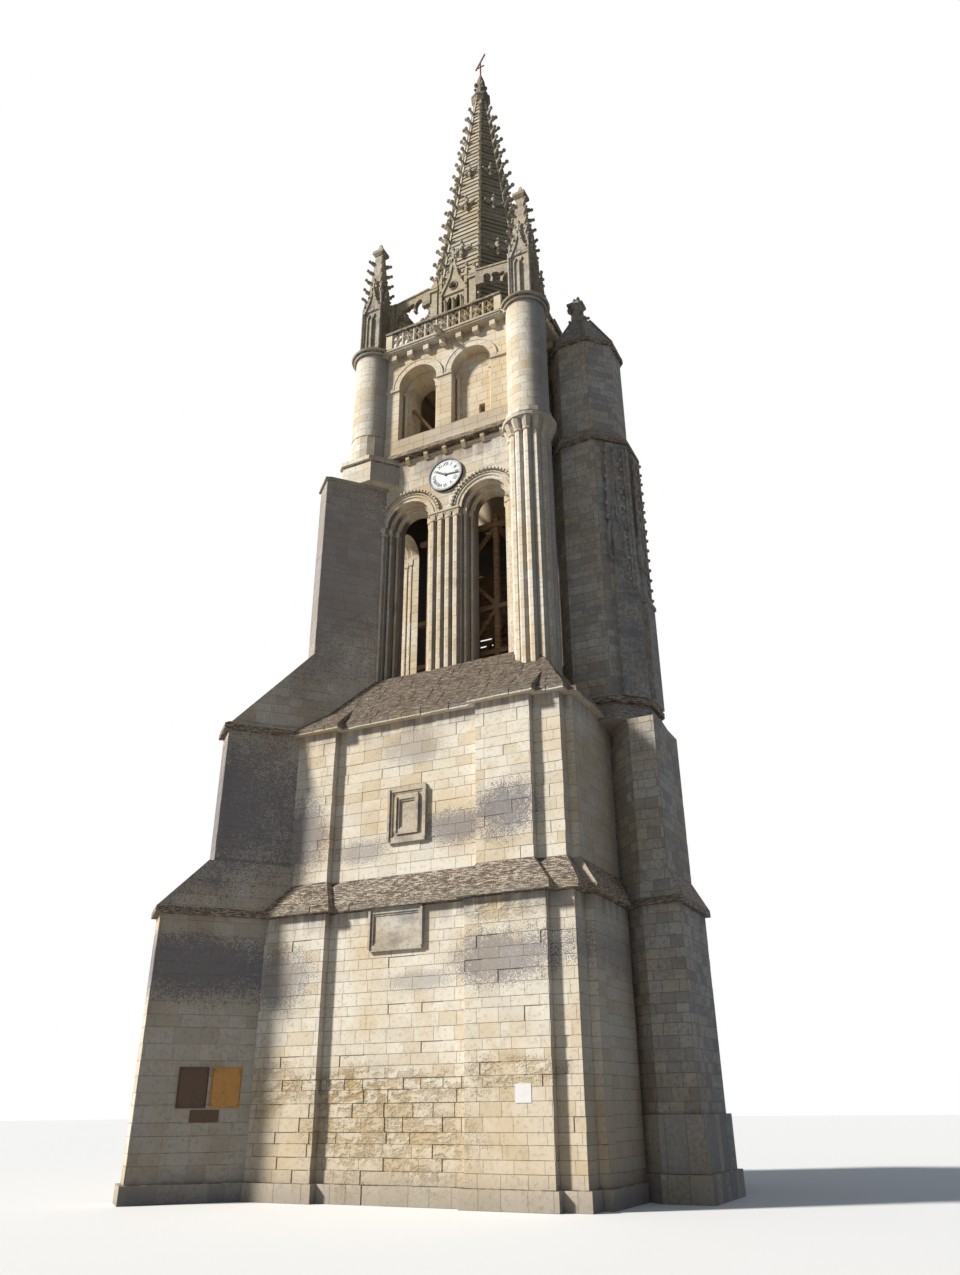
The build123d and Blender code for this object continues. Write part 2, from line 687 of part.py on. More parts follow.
low_room = (lower_x - lower_wall, lower_y - lower_wall)
mid_room = (middle_x - middle_wall, middle_y - middle_wall)
lower_ring = joined([lower_solid, framed_panel(-111, 62, -lower_y, 618, 725)]) - room(*low_room, -1, 760)
middle_ring = joined([middle_solid, framed_panel(-87, 41, -middle_y, 930, 1090)]) - room(*mid_room, 740, 1320)
lower_walls = quarters(lower_ring, *low_room, 900, 760)
middle_walls = quarters(middle_ring, *mid_room, 900, 1320)
ground_floor = room(*low_room, 0, 12)

# timber bell frame on the belfry floor
beam = 17
frame_x, frame_y = 140, 200
frame_levels = (1640, 1815, 2160)
brace_rises = ((1650, 1810), (1990, 1820), (1995, 2155))
frame_parts = []
for y in (-frame_y, frame_y):
    for x in (-frame_x, 0, frame_x):
        frame_parts.append(Pos(x, y, (belfry_floor + 2200) / 2) * Box(beam, beam, 2200 - belfry_floor))
    for z in frame_levels:
        frame_parts.append(Pos(0, y, z) * Box(2 * frame_x + 80, beam, beam))
    for way in (-1, 1):
        for z0, z1 in brace_rises:
            run = hypot(frame_x, z1 - z0)
            ux, uz = way * frame_x / run * beam / 2.6, (z1 - z0) / run * beam / 2.6
            corners = [(-uz, z0 + ux), (uz, z0 - ux)]
            corners += [(way * frame_x + uz, z1 - ux), (way * frame_x - uz, z1 + ux)]
            frame_parts.append(wall_prism(corners, y - 5, y + 5))
for x in (-frame_x, frame_x):
    for z in frame_levels:
        frame_parts.append(Pos(x, 0, z) * Box(beam, 2 * frame_y, beam))
bell_frame = joined(frame_parts)

# clock on the front wall, over the pier between the windows
clock_x, clock_z = 2, 2340
clock_face = eye(clock_x, clock_z, 66, -belfry_half - 8, -belfry_half, dial_sides)
clock_rim = eye(clock_x, clock_z, 71, -belfry_half - 11, -belfry_half, dial_sides)
clock_rim = clock_rim - eye(clock_x, clock_z, 66, -belfry_half - 12, -belfry_half + 1, dial_sides)
hand_y = -belfry_half - 8
clock_hands = joined([
    Pos(clock_x, hand_y - 1.5, clock_z) * Rot(0, -60, 0) * Pos(0, 0, 17) * Box(6, 3, 46),
    Pos(clock_x, hand_y - 1.5, clock_z) * Rot(0, 95, 0) * Pos(0, 0, 24) * Box(4, 3, 62),
    eye(clock_x, clock_z, 6, hand_y - 4, hand_y),
])

# bare plates: two bronze and one dark on the buttress flank, one tile on the right pilaster
def plate(a0, a1, z0, z1, thick):
    base = [(*along(a, 0), z) for a, z in ((a0, z0), (a1, z0), (a1, z1), (a0, z1))]
    return extrude(flat_face(base), thick, dir=(-out_y, out_x, 0))


wall_plates = [plate(178, 258, 223, 325, 3), plate(88, 170, 223, 325, 3), plate(141, 218, 189, 219, 2)]
pilaster_face = -lower_y - pilaster_out
tile = block(341, 384, pilaster_face - 2, pilaster_face, 228, 270)

for index in range(4):
    save(lower_walls[index], f"lower_wall_{side_names[index]}")
    save(middle_walls[index], f"middle_wall_{side_names[index]}")
    save(belfry_walls[index], f"belfry_wall_{side_names[index]}")
    save(upper_walls[index], f"upper_wall_{side_names[index]}")
    save(corner_piers[index], f"corner_turret_{corner_names[index]}")
    save(balustrades[index], f"balustrade_{side_names[index]}")
    save(joined([pinnacles[index]] + fliers[index]), f"pinnacle_{corner_names[index]}")
save(ground_floor, "ground_floor")
save(glacis_solid, "sloped_cap_course")
save(terrace, "terrace_slab")
save(spire_shell, "spire_shell")
save(spire_ribs, "spire_ribs")
save(Compound(children=lucarnes), "spire_lucarnes")
save(finial, "spire_finial")
save(cross, "iron_cross")
save(buttress, "corner_buttress")
save(stairs[0], "stair_turret_foot")
save(stairs[1], "stair_turret_upper")
save(stairs[2], "stair_turret_cap")
save(bell_frame, "bell_frame")
save(clock_face, "clock_face")
save(Compound(children=[clock_rim, clock_hands]), "clock_rim_and_hands")
save(Compound(children=wall_plates), "wall_plates")
save(tile, "wall_tile")
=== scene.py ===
from math import cos, pi, radians, sin
from random import Random
import bpy
import bmesh
from mathutils import Matrix, Vector


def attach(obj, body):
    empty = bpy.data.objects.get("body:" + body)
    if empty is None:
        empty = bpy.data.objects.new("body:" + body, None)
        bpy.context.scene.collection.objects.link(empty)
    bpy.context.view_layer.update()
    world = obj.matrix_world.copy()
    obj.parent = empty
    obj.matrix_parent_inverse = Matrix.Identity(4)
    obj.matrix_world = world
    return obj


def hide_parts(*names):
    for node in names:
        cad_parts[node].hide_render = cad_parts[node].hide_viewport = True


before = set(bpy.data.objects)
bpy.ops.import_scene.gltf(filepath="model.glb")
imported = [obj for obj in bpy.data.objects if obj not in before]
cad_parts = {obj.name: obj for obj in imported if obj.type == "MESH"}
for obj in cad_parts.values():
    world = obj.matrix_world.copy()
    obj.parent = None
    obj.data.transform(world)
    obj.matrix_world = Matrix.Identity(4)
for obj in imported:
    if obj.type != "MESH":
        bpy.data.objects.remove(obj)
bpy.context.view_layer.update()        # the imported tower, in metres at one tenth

sideNames = ("front", "right", "back", "left")
cornerNames = ("front_right", "back_right", "back_left", "front_left")
print("frame loaded", len(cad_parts), "nodes")


# small helpers for working as by hand
def only(*pieces):
    # these are selected and the first is active
    bpy.ops.object.select_all(action="DESELECT")
    for piece in pieces:
        piece.select_set(True)
    if pieces:
        bpy.context.view_layer.objects.active = pieces[0]


def startEdit(piece, mode="FACE"):
    only(piece)
    bpy.ops.object.mode_set(mode="EDIT")
    bpy.ops.mesh.select_mode(type=mode)
    return bmesh.from_edit_mesh(piece.data)


def endEdit():
    bpy.ops.object.mode_set(mode="OBJECT")


def pick(action):
    bpy.ops.mesh.select_all(action=action)


def newest(name):
    piece = bpy.context.active_object
    piece.name = name
    return piece


def settle(piece):
    # place, turn and scale go into the mesh, so that the object sits at the origin
    only(piece)
    bpy.ops.object.transform_apply(location=True, rotation=True, scale=True)
    return piece


def joinAll(pieces, name):
    only(*pieces)
    if len(pieces) > 1:
        bpy.ops.object.join()
    return settle(newest(name))


def discard(piece):
    bpy.data.objects.remove(piece, do_unlink=True)


def copyOf(piece, matrix):
    # a copy with its own mesh, moved by the matrix
    twin = piece.copy()
    twin.data = piece.data.copy()
    bpy.context.scene.collection.objects.link(twin)
    twin.data.transform(matrix)
    if matrix.determinant() < 0:
        twin.data.flip_normals()
    return twin


def spin(degrees):
    return Matrix.Rotation(radians(degrees), 4, "Z")


def shifted(x, y, z=0):
    return Matrix.Translation((x, y, z))


def polar(reach, turn):
    return reach * cos(turn), reach * sin(turn)


quarterTurns = [spin(90 * k) for k in range(4)]
eighths = [spin(45 * k) for k in range(8)]


def spread(piece, name, matrices=quarterTurns):
    # the piece repeated at each matrix, as one piece
    copies = [copyOf(piece, matrix) for matrix in matrices]
    discard(piece)
    return joinAll(copies, name)


def finishPiece(piece, material, replaced=(), smooth=None):
    piece.data.materials.clear()
    piece.data.materials.append(material)
    if smooth:
        only(piece)
        bpy.ops.object.shade_smooth_by_angle(angle=radians(smooth))
    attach(piece, "root")
    if replaced:
        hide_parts(*replaced)


def replaceFour(master, stem, names, suffix, material, smooth=None):
    # the piece takes the place of four like nodes
    for turn, name in zip(quarterTurns, names):
        twin = copyOf(master, turn)
        twin.name = stem + name + suffix
        finishPiece(twin, material, [stem + name], smooth)
    discard(master)


def paintNode(node, material):
    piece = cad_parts[node]
    if piece.material_slots:
        piece.material_slots[0].material = material
    else:
        piece.data.materials.append(material)


# simple shapes to carve with
def box(low, high):
    middle = [(a + b) / 2 for a, b in zip(low, high)]
    size = [abs(b - a) for a, b in zip(low, high)]
    bpy.ops.mesh.primitive_cube_add(size=1, location=middle, scale=size)
    return newest("box")


def span(start, end):
    # middle, turn and length of a straight piece between two points
    start, end = Vector(start), Vector(end)
    along = end - start
    return (start + end) / 2, along.to_track_quat("Z", "Y").to_euler(), along.length


def bar(start, end, wide, deep=None):
    middle, turn, length = span(start, end)
    bpy.ops.mesh.primitive_cube_add(size=1, location=middle, rotation=turn,
                                    scale=(wide, deep or wide, length))
    return newest("bar")


def stub(start, end, foot, head, sides=6):
    # a tapered round bar
    middle, turn, length = span(start, end)
    bpy.ops.mesh.primitive_cone_add(vertices=sides, radius1=foot, radius2=head, depth=length,
                                    location=middle, rotation=turn)
    return newest("stub")


def post(x, y, low, high, radius, sides=6):
    return stub((x, y, low), (x, y, high), radius, radius, sides)


def ball(place, radius, squash=1.0):
    bpy.ops.mesh.primitive_ico_sphere_add(subdivisions=1, radius=radius, location=place, scale=(1, 1, squash))
    return newest("bud")


def ring(place, radius, tube, around=12, across=4):
    # an upright ring that faces the front
    bpy.ops.mesh.primitive_torus_add(location=place, rotation=(radians(90), 0, 0), major_radius=radius,
                                     minor_radius=tube, major_segments=around, minor_segments=across)
    return newest("ring")


def halfRing(place, radius, tube):
    # the upper half of an upright ring
    piece = settle(ring(place, radius, tube, 36, 6))
    mesh = startEdit(piece, "VERT")
    for vert in mesh.verts:
        vert.select = vert.co.z < place[2] - 0.0001
    bmesh.update_edit_mesh(piece.data)
    bpy.ops.mesh.delete(type="VERT")
    endEdit()
    return piece


def rectangle(left, right, low, high):
    # its four edges, as pairs of corners
    a, b, c, d = (left, low), (right, low), (left, high), (right, high)
    return (a, b), (c, d), (a, c), (b, d)


# shader maths
class Wire:
    # one socket; a sum or product of wires adds its own Math node
    def __init__(self, web, socket):
        self.web = web
        self.socket = socket

    def maths(self, kind, first, second=0.0):
        return self.web.add("ShaderNodeMath", {"operation": kind}, {0: first, 1: second})

    def __add__(self, other):
        return self.maths("ADD", self, other)

    def __mul__(self, other):
        return self.maths("MULTIPLY", self, other)

    def __sub__(self, other):
        return self.maths("SUBTRACT", self, other)

    def __rsub__(self, other):
        return self.maths("SUBTRACT", other, self)

    def __gt__(self, other):
        return self.maths("GREATER_THAN", self, other)

    def __lt__(self, other):
        return self.maths("LESS_THAN", self, other)

    __radd__ = __add__
    __rmul__ = __mul__

    def size(self):
        return self.maths("ABSOLUTE", self)

    def ramp(self, low, high):
        # soft step from 0 to 1 as the wire goes from low to high
        values = {"Value": self, "From Min": low, "From Max": high}
        return self.web.add("ShaderNodeMapRange", {"interpolation_type": "SMOOTHSTEP"}, values)


class Web:
    # the node tree of one material
    def __init__(self, name):
        self.material = bpy.data.materials.new(name)
        self.material.use_nodes = True
        self.tree = self.material.node_tree
        self.shader = self.tree.nodes["Principled BSDF"]
        self.place = self.add("ShaderNodeTexCoord", {}, {}, "Object")
        self.height = self.axis(2)

    def add(self, kind, settings, values, out=0):
        node = self.tree.nodes.new(kind)
        for key, value in settings.items():
            setattr(node, key, value)
        for key, value in values.items():
            self.give(node.inputs[key], value)
        return Wire(self, node.outputs[out])

    def give(self, socket, value):
        if isinstance(value, Wire):
            self.tree.links.new(value.socket, socket)
        else:
            socket.default_value = value

    def feed(self, **values):
        for key, value in values.items():
            self.give(self.shader.inputs[key.replace("_", " ")], value)
        return self.material

    def axis(self, index, vector=None):
        return self.add("ShaderNodeSeparateXYZ", {}, {0: vector or self.place}, index)

    def vectors(self, kind, first, second=(0, 0, 0), out=0):
        return self.add("ShaderNodeVectorMath", {"operation": kind}, {0: first, 1: second}, out)

    def stretched(self, x, y, z):
        return self.vectors("MULTIPLY", self.place, (x, y, z))

    def noise(self, scale, detail=4.0, rough=0.55, vector=None, warp=0.0):
        values = {"Vector": vector or self.place, "Scale": scale, "Detail": detail, "Roughness": rough}
        values["Distortion"] = warp
        return self.add("ShaderNodeTexNoise", {}, values)

    def mark(self, name):
        return self.add("ShaderNodeAttribute", {"attribute_name": name}, {}, "Fac")

    def blend(self, share, first, second):
        settings = {"data_type": "RGBA", "blend_type": "MIX"}
        return self.add("ShaderNodeMix", settings, {0: share, 6: first, 7: second}, 2)

    def clamp(self, value, top=1.0):
        return self.add("ShaderNodeClamp", {}, {"Value": value, "Min": 0.0, "Max": top})

    def facing(self, index):
        return self.axis(index, self.add("ShaderNodeNewGeometry", {}, {}, "Normal"))

    def blob(self, centre, reach, ragged):
        # 1 inside an egg shape, 0 outside, with a ragged edge
        away = self.vectors("DIVIDE", self.vectors("SUBTRACT", self.place, centre), reach)
        return (self.vectors("LENGTH", away, out="Value") + ragged).ramp(1.2, 0.84)

    def bump(self, height, strength, distance):
        values = {"Height": height, "Strength": strength, "Distance": distance}
        self.feed(Normal=self.add("ShaderNodeBump", {}, values))

    def drumCourses(self, look):
        # stones round the corner turrets: tone of each stone and its joint
        across = self.axis(0).size() - look["x"]
        along = self.axis(1).size() + look["y"]
        around = across.maths("ARCTAN2", along, across) * look["radius"]
        wall = self.add("ShaderNodeCombineXYZ", {}, {0: around, 1: self.height, 2: 0.0})
        values = {"Vector": wall, "Scale": 1.0, "Color1": (0, 0, 0, 1), "Color2": (1, 1, 1, 1),
                  "Mortar": (0.5, 0.5, 0.5, 1), "Mortar Size": look["joint"], "Mortar Smooth": 0.3,
                  "Bias": 0.0, "Brick Width": look["wide"], "Row Height": look["tall"]}
        tone = self.add("ShaderNodeTexBrick", {"offset": 0.43}, values)
        return tone, Wire(self, tone.socket.node.outputs["Fac"])


def tint(red, green, blue):
    # screen colour, 0 to 255, as a linear colour
    return tuple((value / 255) ** 2.2 for value in (red, green, blue)) + (1.0,)


# the stone, one finish in several states of weather; faces turned to the right also get painted shade, in a
# cool grey
stoneLook = dict(
    cream=tint(231, 212, 180), pale=tint(243, 234, 216), ochre=tint(208, 178, 128), grey=tint(184, 175, 164),
    speckle=tint(166, 148, 124), weather=tint(128, 123, 127), crust=tint(68, 53, 41),
    lichen=tint(184, 170, 150), roomShade=tint(52, 44, 38), sootAndShade=tint(106, 108, 116), joint=tint(132, 118, 100),
    bumpDepth=0.0016)
# the corner turrets: place of the front right one, and its coursed drum
turretLook = dict(x=0.345, y=-0.337, radius=0.0757, joint=0.0011, wide=0.058, tall=0.034, sleeve=0.0764)


def stoneFinish(name, age=0.35, grime=0.0, ledges=(), stains=(), strings=(), damp=0.0, laid=True, drum=False,
                sootAndShade="sootAndShade", lapShadows=None, shadeRight=0.4, fresh=0.0, rough=1.0, joints=0.4, pits=(),
                golden=None, lichen=1.0, inside=None):
    # age: how much weather has gone grey; grime: how dark the whole face has gone; fresh: how pale it stayed
    # ledges: heights with drips below; stains: centre, reach, strength; strings: heights of dark mouldings
    # pits: centre, reach, strength of crumbled places; golden: heights between which it yellows
    # lichen: how light the crusted slopes are; inside: half width of the room inside, which gets painted
    # shade
    # the cool grey that grime darkens to is also the colour of the painted shade on faces turned to the right
    look = stoneLook
    web = Web(name)

    def coat(share, paint):
        nonlocal colour
        colour = web.blend(share, colour, look.get(paint, paint))

    wide = web.noise(5.0, 3)
    patch = web.noise(1.0, 5, 0.62, web.stretched(8.0, 8.0, 19.0))
    spots = web.noise(95.0, 4, 0.6)
    grain = web.noise(330.0, 3)
    streaks = web.noise(1.0, 4, 0.6, web.stretched(34.0, 34.0, 3.0))
    tone, joint = patch, None
    if drum:
        tone, joint = web.drumCourses(turretLook)
    elif laid:
        tone, joint = web.mark("stoneTone"), web.mark("stoneJoint")
    colour = web.blend(wide.ramp(0.36 - fresh, 0.64 - fresh), look["cream"], look["pale"])
    coat(tone.ramp(0.7, 0.97) * 0.4, "ochre")
    coat(tone.ramp(0.28, 0.03) * 0.26, "grey")
    coat(web.noise(9.0, 4, 0.6).ramp(0.46, 0.66) * 0.3, "ochre")
    if golden:
        coat(web.height.ramp(*golden) * 0.42, "ochre")
    coat(spots.ramp(0.5, 0.74) * 0.45, "speckle")
    weather = patch.ramp(0.66 - 0.3 * age, 0.9 - 0.3 * age) * (0.25 + 0.6 * age)
    ragged = (grain - 0.5) * 3.2 + (spots - 0.5) * 1.6 + (patch - 0.5) * 0.8 + (wide - 0.5) * 0.9
    dusty = (grain * 0.6 + spots * 0.4).ramp(0.62, 0.48) * 0.34 + 0.66
    for centre, reach, strength in stains:
        weather = weather + web.blob(centre, reach, ragged) * dusty * strength
    crumbled = None
    for centre, reach, strength in pits:
        spot = web.blob(centre, reach, ragged) * strength
        crumbled = crumbled + spot if crumbled else spot
    if crumbled:
        hollow = crumbled * web.noise(34.0, 5, 0.65, web.stretched(1.0, 1.0, 1.7)).ramp(0.42, 0.6)
        coat(hollow * 0.65, "ochre")
    for ledge, fall in ledges:
        below = web.height.ramp(ledge - fall, ledge) * (web.height < ledge + 0.001)
        weather = weather + below * streaks.ramp(0.3, 0.62) * 0.7
    coat(web.clamp(weather, 0.92), "weather")
    # painted shade: faces turned to the right (+x) darken; grime, spots and damp add real soil to the same
    # mask
    soilAndShade = web.facing(0).ramp(0.35, 0.9) * shadeRight + grime * 0.75
    soilAndShade = soilAndShade + (spots * 0.66 + tone * 0.34).ramp(0.34, 0.62) * (grime * 0.5 + 0.04)
    if damp:
        soilAndShade = soilAndShade + web.height.ramp(damp, 0.0) * 0.45
    coat(web.clamp(soilAndShade, 0.92), sootAndShade)
    crust = web.facing(2).ramp(0.15, 0.6) * 0.98
    for low, high in strings:
        crust = crust + (web.height > low) * (web.height < high) * 0.85
    bands = web.noise(1.0, 5, 0.65, web.stretched(46.0, 46.0, 330.0))
    crust = web.clamp(crust) * (bands.ramp(0.62, 0.46) * 0.1 + 0.88)
    mottle = (bands * 0.6 + grain * 0.4).ramp(0.49, 0.57) * lichen
    coat(crust, web.blend(mottle, look["crust"], look["lichen"]))
    # painted shadow: the top of each spire course darkens where the course above laps over it
    if lapShadows:
        foot, pitch = lapShadows
        share = (web.height - foot) * (1 / pitch)
        coat(share.maths("FRACT", share).ramp(0.62, 0.98) * 0.62, "crust")
    if joint:
        coat(joint * joints, "joint")
    # painted shade: the faces inside the belfry room darken
    if inside:
        coat((web.axis(0).size() < inside) * (web.axis(1).size() < inside) * 0.85, "roomShade")
    relief = patch * 0.4 + spots * 0.55 + grain * 0.35
    if drum:
        relief = relief - joint * 0.9 + tone * 0.25
    if crumbled:
        relief = relief - hollow * 3.0
    web.bump(relief, 0.7, look["bumpDepth"] * rough)
    return web.feed(Base_Color=colour, Roughness=grain * 0.12 + 0.84)


# laying stones: the plain CAD wall is cut into courses and stones, each proud of its joints
# void: half widths of the room inside; steep: how far a face may lean; turns: the sides that are laid
# worn: share of sunken stones; depth: how far they sink; eroded: x and z ranges with a share of their own
plainLaying = dict(joint=0.0008, proud=0.0005, void=(0.0, 0.0), steep=0.35, turns=(0, 90, 180, 270),
                   edges=(), eroded=())


def courseLevels(look, draw):
    # a course that falls close to an edge of the CAD wall is moved onto it
    levels = []
    level = look["low"]
    while level < look["high"] - look["course"] * 0.6:
        near = [edge for edge in look["edges"] if abs(edge - level) < 0.005]
        levels.append(near[0] if near else level)
        level += look["course"] * draw.uniform(0.82, 1.2)
    return levels + [look["high"]]


def workingCopy(node, name):
    piece = bpy.data.objects.new(name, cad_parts[node].data.copy())
    bpy.context.scene.collection.objects.link(piece)
    piece.data.materials.clear()
    startEdit(piece)
    pick("SELECT")
    bpy.ops.mesh.remove_doubles(threshold=0.00001)
    endEdit()
    bpy.ops.mesh.customdata_custom_splitnormals_clear()
    return piece


def levelNormal(face):
    return Vector((face.normal.x, face.normal.y, 0)).normalized()


def isOuter(face, look):
    centre = face.calc_center_median()
    inside = all(abs(value) < half + 0.0005 for value, half in zip(centre, look["void"]))
    return not inside and abs(face.normal.z) < look["steep"]


def reachAlong(face, tangent):
    return [corner.vert.co.dot(tangent) for corner in face.loops]


def isWorn(face, look, draw):
    centre = face.calc_center_median()
    for x0, x1, z0, z1, chance in look["eroded"]:
        if x0 < centre.x < x1 and z0 < centre.z < z1:
            return draw.random() < chance
    return draw.random() < look["worn"]


def isBig(face, look):
    # wide, tall and large enough to stand proud of its joints
    joint = look["joint"]
    normal = levelNormal(face)
    wide = reachAlong(face, Vector((-normal.y, normal.x, 0)))
    tall = [corner.vert.co.z for corner in face.loops]
    big = max(wide) - min(wide) > 7 * joint and max(tall) - min(tall) > 6 * joint
    return big and face.calc_area() > 60 * joint * joint


def cutStones(piece, look, levels, turn, draw):
    # upright joints on one side; every third course shares its cuts
    facing = Vector((sin(radians(turn)), -cos(radians(turn)), 0))
    tangent = Vector((cos(radians(turn)), sin(radians(turn)), 0))
    for pattern in range(3):
        mesh = bmesh.from_edit_mesh(piece.data)
        reach = []
        for face in mesh.faces:
            level = face.calc_center_median().z
            course = sum(1 for mark in levels if mark < level)
            hit = levelNormal(face).dot(facing) > 0.9 and isOuter(face, look) and course % 3 == pattern
            face.select = hit
            if hit:
                reach += reachAlong(face, tangent)
        if not reach:
            continue
        bmesh.update_edit_mesh(piece.data)
        bpy.ops.mesh.hide(unselected=True)
        spot = min(reach) + look["stone"] * draw.uniform(0.3, 0.9)
        while spot < max(reach) - look["stone"] * 0.3:
            pick("SELECT")
            bpy.ops.mesh.bisect(plane_co=tangent * spot, plane_no=tangent)
            bpy.ops.mesh.mark_seam()
            spot += look["stone"] * draw.uniform(0.7, 1.35)
        bpy.ops.mesh.reveal(select=False)
        bpy.ops.mesh.select_mode(type="FACE")


def layStones(piece, look, seed):
    draw = Random(seed)
    startEdit(piece)
    levels = courseLevels(look, draw)
    for level in levels:
        pick("SELECT")
        bpy.ops.mesh.bisect(plane_co=(0, 0, level), plane_no=(0, 0, 1))
        bpy.ops.mesh.mark_seam()
    bpy.ops.mesh.select_mode(type="FACE")
    for turn in look["turns"]:
        cutStones(piece, look, levels, turn, draw)
    pick("SELECT")
    bpy.ops.mesh.dissolve_limited(angle_limit=radians(1.5), delimit={"SEAM"})
    pick("DESELECT")
    mesh = bmesh.from_edit_mesh(piece.data)
    toneMark = mesh.faces.layers.float.new("stoneTone")
    jointMark = mesh.faces.layers.float.new("stoneJoint")
    for face in mesh.faces:
        face[toneMark] = draw.random()
        face.select = isOuter(face, look) and isBig(face, look)
        face[jointMark] = 1.0 if face.select else 0.0
    bmesh.update_edit_mesh(piece.data)
    bpy.ops.mesh.inset(thickness=look["joint"], depth=look["proud"], use_individual=True)
    mesh = bmesh.from_edit_mesh(piece.data)
    jointMark = mesh.faces.layers.float["stoneJoint"]
    laid = [face for face in mesh.faces if face.select]
    for face in laid:
        face[jointMark] = 0.0
    worn = [face for face in laid if isWorn(face, look, draw)]
    pick("DESELECT")
    for face in worn:
        face.select = True
    bmesh.update_edit_mesh(piece.data)
    if worn:
        bpy.ops.transform.shrink_fatten(value=-look.get("depth", look["proud"] * 0.8))
    endEdit()
    return piece


stoneSmooth = 28


def dress(node, look, finish, seed):
    # the node's place is taken by its laid stones
    piece = layStones(workingCopy(node, f"{node}_stones"), look, seed)
    finishPiece(piece, finish, [node], stoneSmooth)


lowerStones = dict(plainLaying, low=0.045, high=0.73, course=0.03, stone=0.066, proud=0.0006,
                   void=(0.381, 0.418), worn=0.08, depth=0.0022, edges=(0.618, 0.628, 0.715, 0.725),
                   eroded=((-0.26, 0.2, 0.06, 0.3, 0.42), (-0.48, -0.26, 0.1, 0.32, 0.25)))
middleStones = dict(plainLaying, low=0.83, high=1.311, course=0.033, stone=0.064, proud=0.0006,
                    void=(0.367, 0.395), worn=0.12, depth=0.0014, edges=(0.93, 0.94, 1.08, 1.09))
belfryStones = dict(plainLaying, low=1.55, high=2.455, course=0.036, stone=0.062,
                    void=(0.2501, 0.2501), worn=0.1)
upperStones = dict(plainLaying, low=2.49, high=2.986, course=0.033, stone=0.06,
                   void=(0.2351, 0.2351), worn=0.1)
lowerStains = (
    ((0.317, -0.573, 0.57), (0.15, 0.08, 0.06), 0.75),
    ((-0.4, -0.573, 0.56), (0.1, 0.08, 0.08), 0.7),
    ((0.06, -0.548, 0.53), (0.09, 0.08, 0.025), 0.45),
    ((0.5, -0.25, 0.6), (0.08, 0.3, 0.06), 0.6),
    ((0.0, 0.56, 0.5), (0.3, 0.08, 0.1), 0.6),
    ((-0.52, 0.05, 0.55), (0.08, 0.34, 0.08), 0.6),
)
lowerPits = (
    ((-0.05, -0.548, 0.27), (0.24, 0.08, 0.035), 1.0),
    ((-0.15, -0.548, 0.19), (0.09, 0.08, 0.11), 1.0),
    ((0.08, -0.548, 0.14), (0.12, 0.08, 0.08), 0.8),
    ((-0.4, -0.573, 0.27), (0.08, 0.08, 0.05), 0.8),
    ((0.33, -0.573, 0.3), (0.12, 0.08, 0.025), 0.9),
    ((0.3, -0.573, 0.69), (0.1, 0.08, 0.02), 0.8),
    ((0.0, 0.55, 0.25), (0.3, 0.08, 0.1), 0.8),
)
middleStains = (
    ((0.318, -0.53, 0.978), (0.09, 0.06, 0.072), 0.9),
    ((0.13, -0.505, 0.95), (0.105, 0.05, 0.042), 0.8),
    ((-0.18, -0.505, 0.915), (0.085, 0.05, 0.035), 0.6),
    ((-0.385, -0.53, 0.985), (0.075, 0.06, 0.11), 0.8),
    ((-0.01, -0.505, 1.215), (0.1, 0.05, 0.05), 0.45),
    ((0.0, 0.52, 1.0), (0.26, 0.08, 0.09), 0.6),
    ((-0.49, 0.0, 1.05), (0.08, 0.28, 0.08), 0.6),
)
lowerFinish = stoneFinish("lowerStone", 0.22, ledges=((0.73, 0.08),), strings=((0.727, 0.751),), damp=0.1,
                          stains=lowerStains, pits=lowerPits, golden=(0.42, 0.12), fresh=0.12)
middleFinish = stoneFinish("middleStone", 0.22, ledges=((1.311, 0.07),), strings=((0.727, 0.751),),
                           stains=middleStains, fresh=0.06)
# the belfry's faces turned to the right get full painted shade in a darker grey, and its room inside gets
# painted shade
belfryFinish = stoneFinish("belfryStone", 0.4, sootAndShade=tint(76, 74, 77), ledges=((2.44, 0.08),), grime=0.08,
                           strings=((2.462, 2.475),), shadeRight=1.0, inside=0.2515)
upperFinish = stoneFinish("upperStone", 0.2, ledges=((2.986, 0.05),), strings=((2.468, 2.491),), joints=0.6,
                          stains=(((0, -0.36, 2.53), (0.32, 0.06, 0.035), 0.35),), golden=(3.5, 2.3))
for stage, look, finish in (("lower", lowerStones, lowerFinish), ("middle", middleStones, middleFinish),
                            ("belfry", belfryStones, belfryFinish), ("upper", upperStones, upperFinish)):
    for index, side in enumerate(sideNames):
        dress(f"{stage}_wall_{side}", look, finish, index + 10)
    print("stones laid on the", stage, "walls")


# buttress, stair turret and the long slope
flankTurn = 49.0
buttressStones = dict(plainLaying, low=0.045, high=2.345, course=0.036, stone=0.058, joint=0.0009,
                      proud=0.0007, worn=0.2,
                      turns=(flankTurn, flankTurn + 180, flankTurn - 90, flankTurn + 90))
stairStones = dict(plainLaying, low=0.2, high=3.06, course=0.029, stone=0.046, joint=0.0009, proud=0.0007,
                   worn=0.25, steep=0.93, turns=(0, 45, 90, 135, 180, 225, 315))
slopeStones = dict(plainLaying, low=1.34, high=1.55, course=0.028, stone=0.05, joint=0.001, proud=0.0016,
                   void=(0.335, 0.335), worn=0.4, depth=0.0022, steep=0.97)
flankStains = (
    ((-0.6, -0.72, 0.585), (0.4, 0.4, 0.08), 1.0),
    ((-0.66, -0.72, 1.06), (0.36, 0.36, 0.23), 1.0),
    ((-0.5, -0.5, 1.98), (0.6, 0.6, 0.42), 0.75),
)
flankStone = stoneFinish("flankStone", 0.35, grime=0.1, stains=flankStains, damp=0.1, shadeRight=0.35,
                         strings=((0.729, 0.751), (1.31, 1.331)))
